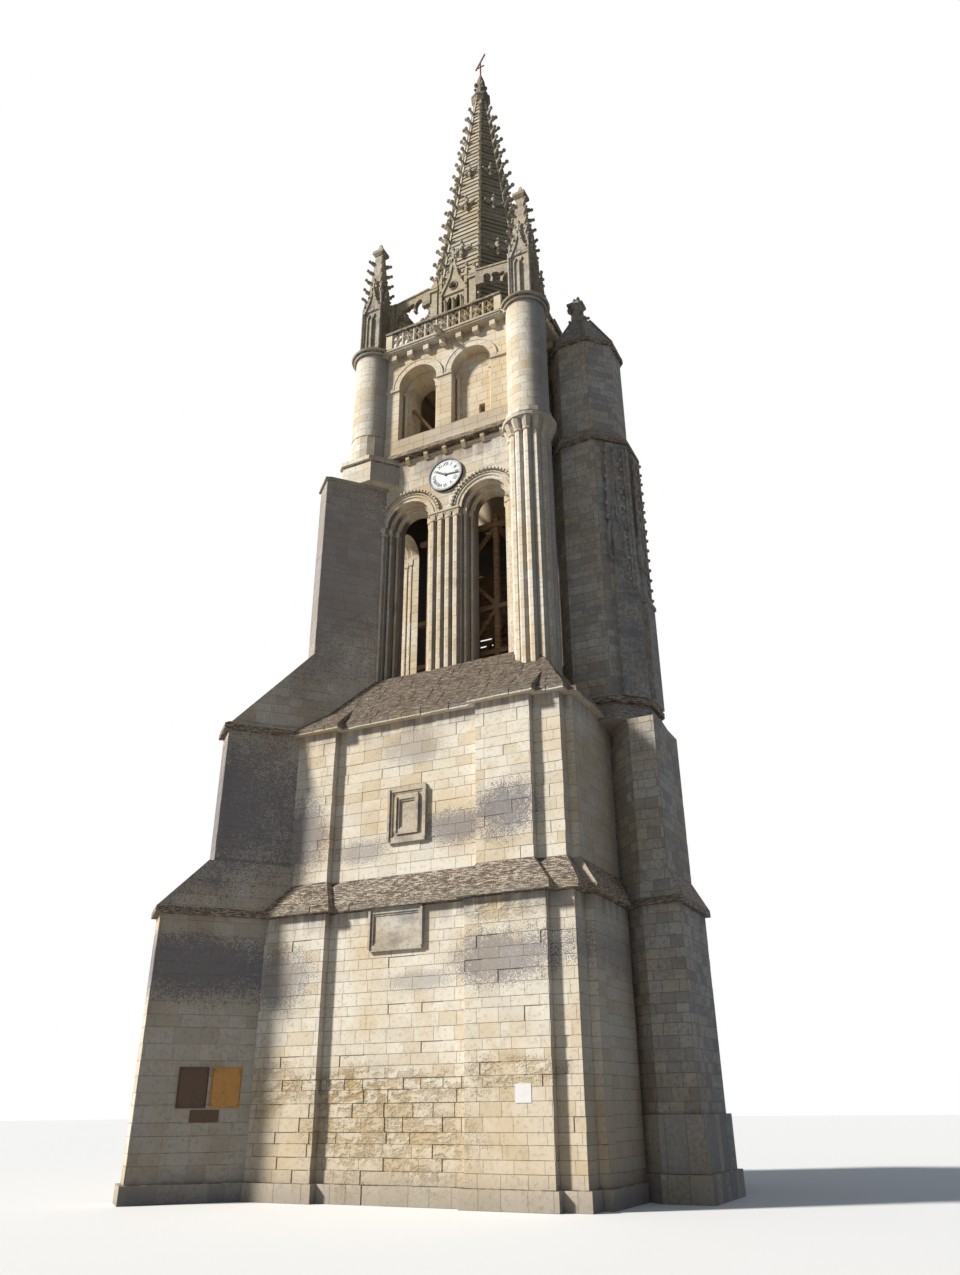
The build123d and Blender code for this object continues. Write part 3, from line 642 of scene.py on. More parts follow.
# the stair turret's blue-grey darkening is part grime, part painted sky shade
stairStone = stoneFinish("stairStone", 0.4, grime=0.42, shadeRight=0.25, sootAndShade=tint(104, 110, 123), joints=0.7,
                         strings=((2.399, 2.418), (1.369, 1.39), (0.729, 0.75), (2.883, 2.901)))
slopeStone = stoneFinish("slopeStone", 0.3, grime=0.05, strings=((1.316, 1.56),), rough=6.0, lichen=0.45)
dress("corner_buttress", buttressStones, flankStone, len("corner_buttress"))
for part in ("foot", "upper", "cap"):
    dress(f"stair_turret_{part}", stairStones, stairStone, len(f"stair_turret_{part}"))
dress("sloped_cap_course", slopeStones, slopeStone, len("sloped_cap_course"))
print("stones laid on the buttress, the stair turret and the slope")


# the rest of the stone keeps its CAD form
plainStone = stoneFinish("plainStone", 0.4, grime=0.12, laid=False)
carvedStone = stoneFinish("carvedStone", 0.55, grime=0.48, laid=False, sootAndShade=tint(102, 94, 82))
# the right half of each drum gets strong painted shade
drumStone = stoneFinish("drumStone", 0.3, drum=True, strings=((3.003, 3.022), (2.443, 2.453)),
                        ledges=((3.0, 0.04),), shadeRight=0.75, fresh=0.12)
spireLook = dict(foot=3.01, top=4.89, footRadius=0.3, topRadius=0.03, courses=62, lap=0.0055)
bandTall = (spireLook["top"] - spireLook["foot"]) / spireLook["courses"]
olive = tint(112, 107, 88)
# the spire's faces turned to the right get strong painted shade, and each course a painted shadow under its
# lap
spireStone = stoneFinish("spireStone", 0.5, grime=0.32, sootAndShade=olive, lapShadows=(spireLook["foot"], bandTall),
                         shadeRight=0.8)
ribStone = stoneFinish("ribStone", 0.4, grime=0.42, laid=False, sootAndShade=olive)
finialStone = stoneFinish("finialStone", 0.5, grime=0.62, laid=False, sootAndShade=tint(74, 70, 62))
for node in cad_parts:
    if node.startswith("corner_turret"):
        paintNode(node, drumStone)
    elif node.startswith(("terrace", "ground")):
        paintNode(node, plainStone)
    elif node.startswith(("spire", "pinnacle", "balustrade")):
        paintNode(node, ribStone)


# spire courses: flat bands of stone, each lapping the one below
def spireRadius(height):
    share = (height - spireLook["foot"]) / (spireLook["top"] - spireLook["foot"])
    return spireLook["footRadius"] + (spireLook["topRadius"] - spireLook["footRadius"]) * share


bands = []
for step in range(spireLook["courses"]):
    low = spireLook["foot"] + bandTall * step
    only()
    bpy.ops.mesh.primitive_cone_add(
        vertices=8, radius1=spireRadius(low) + spireLook["lap"], depth=bandTall, end_fill_type="NGON",
        radius2=spireRadius(low + bandTall) + 0.0004, location=(0, 0, low + bandTall / 2),
        rotation=(0, 0, radians(22.5)))
    bands.append(newest("course"))
spireCourses = joinAll(bands, "spire_courses")
draw = Random(5)
mesh = startEdit(spireCourses)
toneMark = mesh.faces.layers.float.new("stoneTone")
jointMark = mesh.faces.layers.float.new("stoneJoint")
for face in mesh.faces:
    face[toneMark] = draw.random()
    face[jointMark] = 0.0
bmesh.update_edit_mesh(spireCourses.data)
endEdit()
finishPiece(spireCourses, spireStone)
print("spire courses laid")

# crockets: round buds on stalks up the eight arrises, and leaf roses on the faces
crocketLook = dict(first=3.15, pitch=0.085, count=20, reach=0.033, rise=0.022, bud=0.0122)


def crocketRow():
    look = crocketLook
    turn = radians(22.5)
    parts = []
    for step in range(look["count"]):
        height = look["first"] + look["pitch"] * step
        grow = 1.0 - 0.15 * step / look["count"]
        foot = spireRadius(height)
        rise = height + look["rise"] * grow
        start = (*polar(foot, turn), height - 0.012)
        end = (*polar(foot + look["reach"] * grow, turn), rise)
        under = ((start[0] + end[0] * 2) / 3, (start[1] + end[1] * 2) / 3, rise - 0.012 * grow)
        parts += [stub(start, end, 0.0095 * grow, 0.0065 * grow, 5),
                  ball((end[0], end[1], rise + 0.002), look["bud"] * grow, 0.95),
                  ball(under, look["bud"] * 0.55 * grow)]
    return joinAll(parts, "crocket_row")


roseLook = dict(heights=(3.64, 3.98, 4.24), bud=0.012, leaf=0.019, tip=0.008, reach=0.026)


def leafRose(height):
    # a rose of four big leaves round a bud, on the front face of the spire; it shrinks with the face
    look = roseLook
    size = 0.55 + 0.45 * spireRadius(height) / spireRadius(look["heights"][0])
    face = -spireRadius(height) * cos(radians(22.5)) - 0.009
    parts = [ball((0, face - 0.01, height), look["bud"] * size)]
    for step in range(4):
        turn = radians(90 * step)
        reach = look["reach"] * size
        lean = 0.15 * reach * cos(turn)
        place = (reach * sin(turn), face - 0.004 + lean, height + reach * cos(turn))
        leaf = ball(place, look["leaf"] * size)
        leaf.scale = (0.62, 0.6, 1.1)
        leaf.rotation_euler = (0, turn, 0)
        tip = ball((1.75 * place[0], face - 0.01, height + 1.75 * reach * cos(turn)), look["tip"] * size)
        parts += [leaf, tip]
    return joinAll(parts, "rose")


finishPiece(spread(crocketRow(), "spire_crockets", eighths), ribStone)
roses = joinAll([leafRose(height) for height in roseLook["heights"]], "roses")
finishPiece(spread(roses, "spire_leaf_roses", eighths), ribStone)


def finialBuds():
    # the flared collar at the foot of the finial and buds in two rows round it
    parts = [stub((0, 0, 4.888), (0, 0, 4.921), 0.04, 0.05, 8), post(0, 0, 4.92, 4.932, 0.052, 8)]
    for step in range(4):
        turn = radians(45 + 90 * step)
        for height, reach in ((4.998, 0.03), (5.036, 0.029)):
            parts.append(ball((*polar(reach, turn), height), 0.0085))
    return joinAll(parts, "spire_finial_buds")


finishPiece(finialBuds(), finialStone)
paintNode("spire_finial", finialStone)
print("crockets and leaf roses carved")


# lucarnes: crocketed ogee hood, cusped eye, shafts, knobs on the small pinnacles
lucarneLook = dict(face=-0.2895, eye=3.322, grow=1.09)


def lucarneTrim():
    face, eye = lucarneLook["face"], lucarneLook["eye"]
    parts = []
    ogee = [(0.062, 3.284), (0.044, 3.318), (0.021, 3.366), (0.008, 3.424), (0.0, 3.462)]
    for way in (-1, 1):
        for (x0, z0), (x1, z1) in zip(ogee, ogee[1:]):
            parts += [bar((way * x0, face, z0), (way * x1, face, z1), 0.008, 0.012),
                      ball((way * ((x0 + x1) / 2 + 0.008), face - 0.002, (z0 + z1) / 2 + 0.005), 0.0078)]
        parts += [ball((way * 0.017, face, 3.49), 0.0078), ball((way * 0.06, -0.281, 3.417), 0.0085)]
        parts += [ball((way * 0.06 + x, -0.283, z), 0.0055) for z in (3.362, 3.388) for x in (-0.011, 0.011)]
        parts += [ball((way * 0.092, -0.272, 3.405), 0.0085),
                  box((way * 0.092 - 0.021, -0.297, eye), (way * 0.092 + 0.021, -0.25, 3.334)),
                  post(way * 0.038, face, 3.06, 3.246, 0.0042), ball((way * 0.038, face, 3.252), 0.0075)]
    parts += [post(0, face, 3.06, 3.246, 0.0048), ball((0, face, 3.252), 0.0085),
              bar((0, face, 3.455), (0, face, 3.512), 0.007),
              bar((-0.017, face, 3.488), (0.017, face, 3.488), 0.006),
              ball((0, face, 3.516), 0.009), ring((0, face, eye), 0.02, 0.0034, 14)]
    for step in range(3):
        turn = radians(60 + 120 * step)
        foot, head = ((reach * sin(turn), face, eye + reach * cos(turn)) for reach in (0.02, 0.008))
        parts.append(stub(foot, head, 0.0055, 0.0012, 4))
    return joinAll(parts, "lucarne_trim")


def grown(piece):
    # lucarnes stand a little taller than their plain blocks
    startEdit(piece, "VERT")
    pick("SELECT")
    bpy.ops.transform.resize(value=(1, 1, lucarneLook["grow"]), center_override=(0, 0, 3.02))
    endEdit()
    return piece


lucarneParts = [grown(workingCopy("spire_lucarnes", "lucarne_blocks")),
                spread(grown(lucarneTrim()), "lucarne_carvings")]
finishPiece(joinAll(lucarneParts, "spire_lucarnes_carved"), ribStone,
            ["spire_lucarnes"], 30)


def nicheShadePanels():
    # dark panels in the twin lights and the eye of a lucarne, painted shade standing for the dark inside them
    parts = [box((x - 0.0135, -0.2665, 3.061), (x + 0.0135, -0.264, 3.262)) for x in (-0.02, 0.02)]
    eye = lucarneLook["eye"]
    parts.append(stub((0, -0.2705, eye), (0, -0.268, eye), 0.0145, 0.0145, 12))
    return joinAll(parts, "niche_shade_panels")


# a near-black finish, painted as the shade deep in an opening
def shadeFinish(name):
    web = Web(name)
    colour = web.blend(web.noise(60.0, 3), tint(30, 27, 24), tint(52, 46, 40))
    return web.feed(Base_Color=colour, Roughness=0.9)


finishPiece(spread(grown(nicheShadePanels()), "lucarne_shade_panels"), shadeFinish("shadePanels"))


# pinnacles: the flying arches get cusped undersides, the shafts get gablets, hooks and finials
flierLine = -0.285
overCorner = quarterTurns[1] @ Matrix.Scale(-1, 4, (1, 0, 0))
turretTurns = [shifted(turretLook["x"], turretLook["y"]) @ turn for turn in quarterTurns]


def archLobes():
    # long round cutters, three to each flying arch of the front right pinnacle
    cutters = []
    for x, z, wide, tall in ((0.252, 3.256, 0.0195, 0.04), (0.206, 3.286, 0.0185, 0.036),
                             (0.163, 3.303, 0.017, 0.031)):
        bpy.ops.mesh.primitive_cylinder_add(vertices=16, radius=1, depth=0.06, location=(x, flierLine, z),
                                            rotation=(radians(90), 0, 0), scale=(wide, tall, 1))
        cutters.append(settle(newest("lobe")))
    cutters += [copyOf(cutter, overCorner) for cutter in cutters]
    return joinAll(cutters, "lobes")


def gabletFace():
    # the front of one pinnacle, around the origin
    face = -0.046
    parts = []
    for way in (-1, 1):
        parts += [bar((way * 0.04, face, 3.262), (way * 0.017, face, 3.318), 0.007, 0.012),
                  bar((way * 0.017, face, 3.318), (0, face, 3.398), 0.006, 0.011),
                  ball((way * 0.034, face - 0.003, 3.298), 0.007),
                  ball((way * 0.016, face - 0.003, 3.346), 0.0065),
                  ball((way * 0.012, face + 0.006, 3.428), 0.0065),
                  post(way * 0.043, face, 3.05, 3.29, 0.004)]
    parts += [bar((0, face, 3.39), (0, face + 0.01, 3.452), 0.007), ball((0, face + 0.01, 3.456), 0.0085),
              post(0, face + 0.004, 3.06, 3.235, 0.0034), ring((0, face + 0.003, 3.282), 0.012, 0.003, 10)]
    return joinAll(parts, "gablet_face")


def hookRow():
    # hooks up one corner of the pinnacle stem, on the diagonal through the origin
    parts = []
    turn = radians(45)
    for step in range(5):
        height = 3.345 + 0.057 * step
        edge = (0.037 - 0.022 * (height - 3.3) / 0.325) * 1.414
        tip = polar(edge + 0.021, turn)
        parts += [stub((*polar(edge * 0.9, turn), height - 0.008), (*tip, height + 0.01), 0.007, 0.0045, 5),
                  ball((*tip, height + 0.011), 0.0078)]
    parts.append(ball((0.041, 0.041, 3.352), 0.0065))
    return joinAll(parts, "hook_row")


def pinnaclePiece():
    piece = workingCopy("pinnacle_front_right", "pinnacle")
    lobes = archLobes()
    only(piece)
    cut = piece.modifiers.new("lobes", "BOOLEAN")
    cut.operation = "DIFFERENCE"
    cut.solver = "EXACT"
    cut.object = lobes
    bpy.ops.object.modifier_apply(modifier=cut.name)
    discard(lobes)
    faces = spread(gabletFace(), "gablets", turretTurns)
    hooks = spread(hookRow(), "hooks", turretTurns)
    coping = settle(bar((0.112, flierLine, 3.376), (0.306, flierLine, 3.35), 0.03, 0.008))
    return joinAll([piece, faces, hooks, coping, copyOf(coping, overCorner)], "pinnacle_carved")


replaceFour(pinnaclePiece(), "pinnacle_", cornerNames, "_carved", carvedStone, 30)
print("lucarnes and pinnacles carved")

# balustrade: bays of four cusped eyes between thin mullions, under a thin coping
railLook = dict(line=-0.375, half=0.236, foot=3.018, head=3.095, bays=9, deep=0.006, end=0.262)
bayWide = 2 * railLook["half"] / railLook["bays"]


def balustradeBay():
    line, deep, low, high = (railLook[key] for key in ("line", "deep", "foot", "head"))
    tall = high - low
    parts = [box((-bayWide / 2 - 0.0024, line - deep, low), (-bayWide / 2 + 0.0024, line + deep, high))]
    for way in (-1, 1):
        for row in (0, 1):
            middle = low + tall * (0.25 + 0.5 * row)
            eye = ring((way * bayWide / 4, line, middle), 0.01, 0.0029, 10)
            eye.scale = (bayWide / 4 / 0.0122, tall / 4 / 0.012, 1.9)
            parts.append(eye)
            for side in (-1, 1):
                foot = (way * bayWide / 4 + side * 0.0105, line, middle)
                head = (way * bayWide / 4 + side * 0.0042, line, middle + 0.001)
                parts.append(stub(foot, head, 0.0042, 0.0008, 4))
    parts.append(ball((0, line - 0.004, low + tall / 2), 0.0062, 1.3))
    return joinAll(parts, "bay")


def balustradePiece():
    line, end, bays = railLook["line"], railLook["end"], railLook["bays"]
    steps = [shifted(bayWide * (step - (bays - 1) / 2), 0) for step in range(bays)]
    parts = [spread(balustradeBay(), "tracery", steps),
             box((-end, line - 0.008, 3.01), (end, line + 0.008, railLook["foot"] + 0.001)),
             box((-end, line - 0.013, railLook["head"]), (end, line + 0.013, 3.105))]
    parts += [box((way * 0.233, line - 0.008, 3.01), (way * end, line + 0.008, 3.1)) for way in (-1, 1)]
    return joinAll(parts, "balustrade")


railStone = stoneFinish("railStone", 0.2, laid=False, strings=((3.094, 3.106),), golden=(3.11, 3.0))
replaceFour(balustradePiece(), "balustrade_", sideNames, "_tracery", railStone)


# terrace: a moulding round the edge and a waterspout in the middle of each side
def waterspout():
    parts = [stub((0, -0.372, 3.002), (0, -0.428, 2.988), 0.015, 0.011), ball((0, -0.432, 2.99), 0.013, 0.8),
             stub((0, -0.44, 2.988), (0, -0.452, 2.982), 0.008, 0.005, 5)]
    for way in (-1, 1):
        parts += [stub((way * 0.007, -0.43, 2.996), (way * 0.01, -0.428, 3.008), 0.004, 0.001, 4),
                  stub((way * 0.01, -0.385, 2.994), (way * 0.017, -0.405, 2.974), 0.007, 0.004, 5)]
    return joinAll(parts, "waterspout")


def terraceEdge():
    end = railLook["end"]
    parts = [box((-end, -out, low), (end, -0.38, high))
             for low, high, out in ((2.988, 2.996, 0.392), (2.996, 3.003, 0.396))]
    return joinAll(parts + [waterspout()], "terrace_edge")


edgeStone = stoneFinish("edgeStone", 0.6, grime=0.3, laid=False)
finishPiece(spread(terraceEdge(), "terrace_edge_and_spouts"), edgeStone)
print("balustrades, terrace edge and waterspouts carved")


# belfry: billets on the hoods, rolls on the window orders, rings on the shafts
belfryLook = dict(face=-0.335, spring=2.18, pair=0.157, hood=0.132, billets=27)


def windowTrim():
    # round one window of the front, centred on x = 0
    face, spring, hood, billets = (belfryLook[key] for key in ("face", "spring", "hood", "billets"))
    parts = []
    for step in range(billets):
        turn = pi * (step + 0.5) / billets
        place = (hood * cos(turn), face - 0.009, spring + hood * sin(turn))
        bpy.ops.mesh.primitive_cube_add(size=1, location=place, rotation=(0, -turn, 0),
                                        scale=(0.0085, 0.008, 0.0075))
        parts.append(newest("billet"))
    for out, radius, tube in ((-0.002, 0.121, 0.0035), (-0.001, 0.1085, 0.004), (0.024, 0.089, 0.0058),
                              (0.052, 0.0755, 0.0058)):
        parts.append(halfRing((0, face + out, spring), radius, tube))
    return joinAll(parts, "window_trim")


def pierTrim():
    # necking rings and leaf corners on the shafts of the piers
    face = belfryLook["face"]
    parts = []
    for x in (-0.261, -0.048, -0.016, 0.016, 0.048, 0.261):
        radius = 0.0175 if abs(x) < 0.1 else 0.0135
        parts.append(post(x, face, 2.144, 2.15, radius, 12))
        parts += [ball((x + way * radius * 0.66, face - 0.013, 2.166), 0.0055) for way in (-1, 1)]
    parts.append(box((-0.275, -0.343, 2.452), (0.275, -0.336, 2.459)))
    return joinAll(parts, "pier_trim")


def pairs(offset):
    # two places on each side of the tower
    return [turn @ shifted(x, 0) for turn in quarterTurns for x in (-offset, offset)]


trim = [spread(windowTrim(), "hoods", pairs(belfryLook["pair"])), spread(pierTrim(), "rings")]
trimStone = stoneFinish("trimStone", 0.45, grime=0.14, laid=False)
finishPiece(joinAll(trim, "belfry_trim"), trimStone, smooth=40)


# upper bays: two round mouldings on each arch, and a string at its springing
bayLook = dict(face=-0.357, spring=2.815, pair=0.118, rolls=((0.004, 0.1125), (0.002, 0.0885)))


def bayTrim():
    face, spring = bayLook["face"], bayLook["spring"]
    parts = [halfRing((0, face - out, spring), radius, 0.0042) for out, radius in bayLook["rolls"]]
    parts += [box((way * 0.0835, face - 0.006, 2.806), (way * 0.117, face + 0.03, spring)) for way in (-1, 1)]
    return joinAll(parts, "bay_trim")


def impostStrings():
    # the string that runs on from the outer arches to the turrets
    strings = [box((x, -0.364, 2.804), (x + 0.038, -0.327, 2.816)) for x in (-0.2725, 0.2345)]
    return joinAll(strings, "impost_strings")


trim = [spread(bayTrim(), "bays", pairs(bayLook["pair"])), spread(impostStrings(), "imposts")]
finishPiece(joinAll(trim, "upper_bay_trim"), trimStone, smooth=40)


# flared capitals where the shaft clusters end under the corner turrets
def clusterCapitals():
    x, y = turretLook["x"], turretLook["y"]
    parts = []
    for step in range(9):
        turn = radians(-165 + 30 * step)
        (inX, inY), (outX, outY) = polar(0.064, turn), polar(0.076, turn)
        parts += [stub((x + inX, y + inY, 2.384), (x + outX, y + outY, 2.428), 0.0155, 0.0205, 8),
                  post(x + inX, y + inY, 2.378, 2.385, 0.0175, 8)]
    parts.append(stub((x, y, 2.426), (x, y, 2.437), 0.098, 0.1, 24))
    return joinAll(parts, "cluster_capitals")


capitals = spread(clusterCapitals(), "cluster_capitals", quarterTurns[:3])
finishPiece(capitals, trimStone)
for turn, corner in zip(quarterTurns, cornerNames):
    # a smooth drum of coursed stone round each turret
    foot, head = 2.583 if corner == "front_left" else 2.473, 3.004
    bpy.ops.mesh.primitive_cylinder_add(
        vertices=48, radius=turretLook["sleeve"], depth=head - foot, end_fill_type="NOTHING",
        location=(turretLook["x"], turretLook["y"], (head + foot) / 2))
    sleeve = settle(newest(f"corner_turret_{corner}_drum"))
    sleeve.data.transform(turn)
    finishPiece(sleeve, drumStone, smooth=60)


def brimRolls():
    parts = []
    for height, radius in ((3.012, 0.0925), (2.999, 0.083)):
        bpy.ops.mesh.primitive_torus_add(
            location=(turretLook["x"], turretLook["y"], height), major_radius=radius, minor_radius=0.0052,
            major_segments=32, minor_segments=6)
        parts.append(newest("roll"))
    return joinAll(parts, "brim_rolls")


finishPiece(spread(brimRolls(), "turret_brim_rolls"), edgeStone, smooth=50)
print("belfry, upper bays and turrets trimmed")


# frames of the two bare panels, and their slabs
def panelFrame(left, right, face, low, high):
    parts = []
    for grow, out, thick in ((0.0, 0.012, 0.007), (-0.008, 0.007, 0.005)):
        for edge in rectangle(left - grow, right + grow, low - grow, high + grow):
            start, end = ((x, face - out / 2, z) for x, z in edge)
            parts.append(bar(start, end, thick, out + 0.004))
    return joinAll(parts, "panel_frame")


frames = [panelFrame(-0.109, 0.06, -0.548, 0.62, 0.723), panelFrame(-0.085, 0.039, -0.505, 0.932, 1.088),
          panelFrame(-0.06, 0.014, -0.506, 0.957, 1.063),
          box((-0.101, -0.5515, 0.628), (0.052, -0.548, 0.715)),
          box((-0.077, -0.5085, 0.94), (0.031, -0.505, 1.08))]
frameStone = stoneFinish("frameStone", 0.7, grime=0.3, laid=False)
finishPiece(joinAll(frames, "panel_frames"), frameStone)

# stair turret: raised strips with a crocketed spirelet on three faces, and a finial on its roof
stairLook = dict(x=0.478, y=-0.06, roofY=-0.072, face=-0.154, strip=-0.007, knobs=0.044)


def stairStrip():
    face, middle, knobs = stairLook["face"], stairLook["strip"], stairLook["knobs"]
    back, top = face + 0.004, face - 0.013
    parts = [box((-0.02, face - 0.01, 1.775), (0.058, back, 2.392)),
             box((-0.026, face - 0.018, 1.392), (0.061, back, 1.77)),
             box((-0.03, face - 0.023, 1.764), (0.063, back, 1.778))]
    for way in (-1, 1):
        wide = middle + way * 0.03
        parts += [bar(start, end, 0.006, 0.012) for start, end in (
            ((middle + way * 0.024, top, 2.055), (middle + way * 0.012, top, 2.37)),
            ((wide, top, 2.01), (middle, top, 2.11)), ((wide, top, 1.9), (wide, top, 2.01)))]
        parts += [ball((middle + way * (0.03 - 0.002 * step), top - 0.006, 2.062 + 0.057 * step), 0.01)
                  for step in range(6)]
        parts += [ball((knobs + way * 0.012, top - 0.002, 1.795 + 0.041 * step + 0.01 * way), 0.0075)
                  for step in range(15)]
    parts += [bar((knobs, top + 0.002, 1.79), (knobs, top + 0.002, 2.385), 0.008, 0.01),
              box((-0.018, top - 0.003, 1.935), (0.004, top + 0.004, 1.985)),
              box((-0.034, top - 0.006, 1.892), (0.02, top + 0.004, 1.902))]
    return joinAll(parts, "stair_strip")


def stairFinial():
    x, y = 0.458, stairLook["roofY"]
    parts = [box((x - 0.014, y - 0.014, 3.06), (x + 0.014, y + 0.014, 3.15)),
             stub((x, y, 3.15), (x, y, 3.19), 0.017, 0.012, 4),
             stub((x, y, 3.186), (x, y, 3.204), 0.016, 0.036, 4),
             box((x - 0.026, y - 0.026, 3.204), (x + 0.026, y + 0.026, 3.214)),
             stub((x, y, 3.214), (x, y, 3.252), 0.02, 0.006, 4)]
    for k in range(4):
        outX, outY = polar(0.024, radians(90 * k))
        parts.append(ball((x + outX, y + outY, 3.192), 0.009))
    return joinAll(parts, "stair_turret_finial")


def roofRidges():
    # a thick edge of slabs up each arris of the stair turret's roof
    x, y = stairLook["x"], stairLook["roofY"]
    parts = []
    for k in range(8):
        turn = radians(22.5 + 45 * k)
        (eaveX, eaveY), (headX, headY) = polar(0.1515, turn), polar(0.052, turn)
        if x + eaveX > 0.36:
            parts.append(bar((x + eaveX, y + eaveY, 2.904), (x + headX, y + headY, 3.086), 0.01, 0.008))
    return joinAll(parts, "stair_roof_ridges")


stripTurns = [shifted(stairLook["x"], stairLook["y"]) @ spin(turn) for turn in (45, 90, 135)]
strips = spread(stairStrip(), "stair_turret_strips", stripTurns)
stripStone = stoneFinish("stripStone", 0.6, grime=0.5, laid=False, shadeRight=0.3)
finishPiece(strips, stripStone)
finishPiece(stairFinial(), stripStone)
roofStone = stoneFinish("roofStone", 0.8, grime=0.8, laid=False)
finishPiece(roofRidges(), roofStone)
print("stair turret strips, finial and ridges carved")


# other finishes
def paintedFinish(name, colour, rough, wear):
    web = Web(name)
    dirt = web.noise(45.0, 5).ramp(0.45, 0.75) * wear
    web.bump(web.noise(300.0, 2), 0.15, 0.0004)
    return web.feed(Base_Color=web.blend(dirt, colour, tint(120, 112, 100)), Roughness=dirt * 0.3 + rough)


def ironFinish(name):
    web = Web(name)
    rust = web.noise(60.0, 5, 0.6).ramp(0.35, 0.65)
    web.bump(rust, 0.4, 0.0006)
    colour = web.blend(rust, tint(84, 46, 36), tint(140, 84, 58))
    return web.feed(Base_Color=colour, Roughness=rust * 0.15 + 0.7)


def timberFinish(name):
    web = Web(name)
    grain = web.noise(1.0, 5, 0.6, web.stretched(14.0, 14.0, 160.0), 0.5)
    colour = web.blend(grain.ramp(0.3, 0.7), tint(92, 68, 46), tint(150, 118, 84))
    colour = web.blend(web.noise(9.0, 3).ramp(0.5, 0.8) * 0.5, colour, tint(120, 112, 104))
    web.bump(grain, 0.5, 0.0008)
    return web.feed(Base_Color=colour, Roughness=grain * 0.2 + 0.65)


def bronzeFinish(name):
    # the plate nearer the front corner is golden, the others are dark
    web = Web(name)
    golden = (web.axis(0) > -0.541) * (web.height > 0.221)
    patina = web.noise(70.0, 5, 0.6)
    colour = web.blend(golden, tint(78, 62, 50), tint(158, 118, 66))
    colour = web.blend(patina.ramp(0.5, 0.75) * 0.4, colour, tint(70, 62, 50))
    web.bump(patina, 0.2, 0.0004)
    return web.feed(Base_Color=colour, Roughness=patina * 0.3 + 0.4, Metallic=0.45)


blackPaint = paintedFinish("blackPaint", tint(26, 26, 28), 0.4, 0.15)
oldTimber = timberFinish("oldTimber")
bronze = bronzeFinish("bronze")
for node, finish in (
    ("clock_face", paintedFinish("dialPaint", tint(228, 230, 230), 0.35, 0.1)),
    ("clock_rim_and_hands", blackPaint),
    ("iron_cross", ironFinish("ironRust")),
    ("bell_frame", oldTimber),
    ("wall_plates", bronze),
    ("wall_tile", paintedFinish("whiteGlaze", tint(244, 242, 238), 0.35, 0.06)),
):
    paintNode(node, finish)

# clock: roman numerals and minute marks
clockLook = dict(centre=(0.002, -0.3434, 2.34), numeral=0.02, numeralRing=0.0465, markRing=0.061)


def clockMarks():
    look = clockLook
    dial = shifted(*look["centre"]) @ Matrix.Rotation(radians(90), 4, "X")
    parts = []
    for hour, letters in enumerate("XII I II III IIII V VI VII VIII IX X XI".split()):
        only()
        bpy.ops.object.text_add(location=(0, 0, 0))
        text = bpy.context.active_object.data
        text.body = letters
        text.size = look["numeral"]
        text.extrude = 0.0005
        text.resolution_u = 2
        text.align_x = text.align_y = "CENTER"
        bpy.ops.object.convert(target="MESH")
        mark = newest("numeral")
        mark.matrix_world = dial @ spin(-30 * hour) @ shifted(0, look["numeralRing"])
        parts.append(mark)
    for minute in range(60):
        size = (0.0016, 0.006, 0.0008, 1) if minute % 5 == 0 else (0.0008, 0.0035, 0.0008, 1)
        bpy.ops.mesh.primitive_cube_add(size=1)
        mark = newest("minute")
        place = dial @ spin(-6 * minute) @ shifted(0, look["markRing"])
        mark.matrix_world = place @ Matrix.Diagonal(size)
        parts.append(mark)
    return joinAll(parts, "clock_marks")


finishPiece(clockMarks(), blackPaint)


# small fittings: timber struts in the open lights, sound boards, studs and raised edges on the plates
def fittings():
    strut = bar((-0.168, -0.3, 2.735), (-0.07, -0.262, 2.585), 0.011)
    ledge = bar((-0.176, -0.285, 2.59), (-0.06, -0.285, 2.59), 0.01, 0.012)
    return joinAll([strut, ledge], "light_struts")


boardLook = dict(count=21, foot=1.6, pitch=0.029, half=0.15, battens=(-0.145, -0.07, 0.07, 0.145))


def soundBoards():
    # boards on the back of the bell frame, lapped except for a few with gaps between them
    look = boardLook
    parts = []
    for step in range(look["count"]):
        height = look["foot"] + look["pitch"] * step
        tall = 0.022 if 1.76 < height < 1.9 else 0.03
        parts.append(box((-look["half"], 0.205, height), (look["half"], 0.209, height + tall)))
    parts += [box((x - 0.005, 0.209, 1.56), (x + 0.005, 0.217, 2.21)) for x in look["battens"]]
    return joinAll(parts, "sound_boards")


# the two larger plates on the buttress's skew face: each near and far edge along it, and their heights
plateLook = dict(low=0.226, high=0.322, plates=((0.088, 0.17), (0.178, 0.258)))


def plateEdges():
    # a raised edge and four studs on each plate
    outX, outY = -0.656, -0.755
    low, high, lift = plateLook["low"], plateLook["high"], 0.0032
    parts = []

    def onPlate(along, height, out):
        return (-0.427 + outX * along - outY * out, -0.53 + outY * along + outX * out, height)

    for near, far in plateLook["plates"]:
        left, right = near + 0.003, far - 0.003
        for start, end in rectangle(left, right, low, high):
            parts.append(bar(onPlate(*start, lift), onPlate(*end, lift), 0.0022))
        parts += [ball(onPlate(along, height, 0.0035), 0.0022)
                  for along in (left + 0.005, right - 0.005) for height in (low + 0.005, high - 0.005)]
    return joinAll(parts, "plate_edges")


finishPiece(spread(fittings(), "light_struts"), oldTimber)
finishPiece(soundBoards(), oldTimber)
finishPiece(plateEdges(), bronze)
print("clock marks, struts and plate edges made")


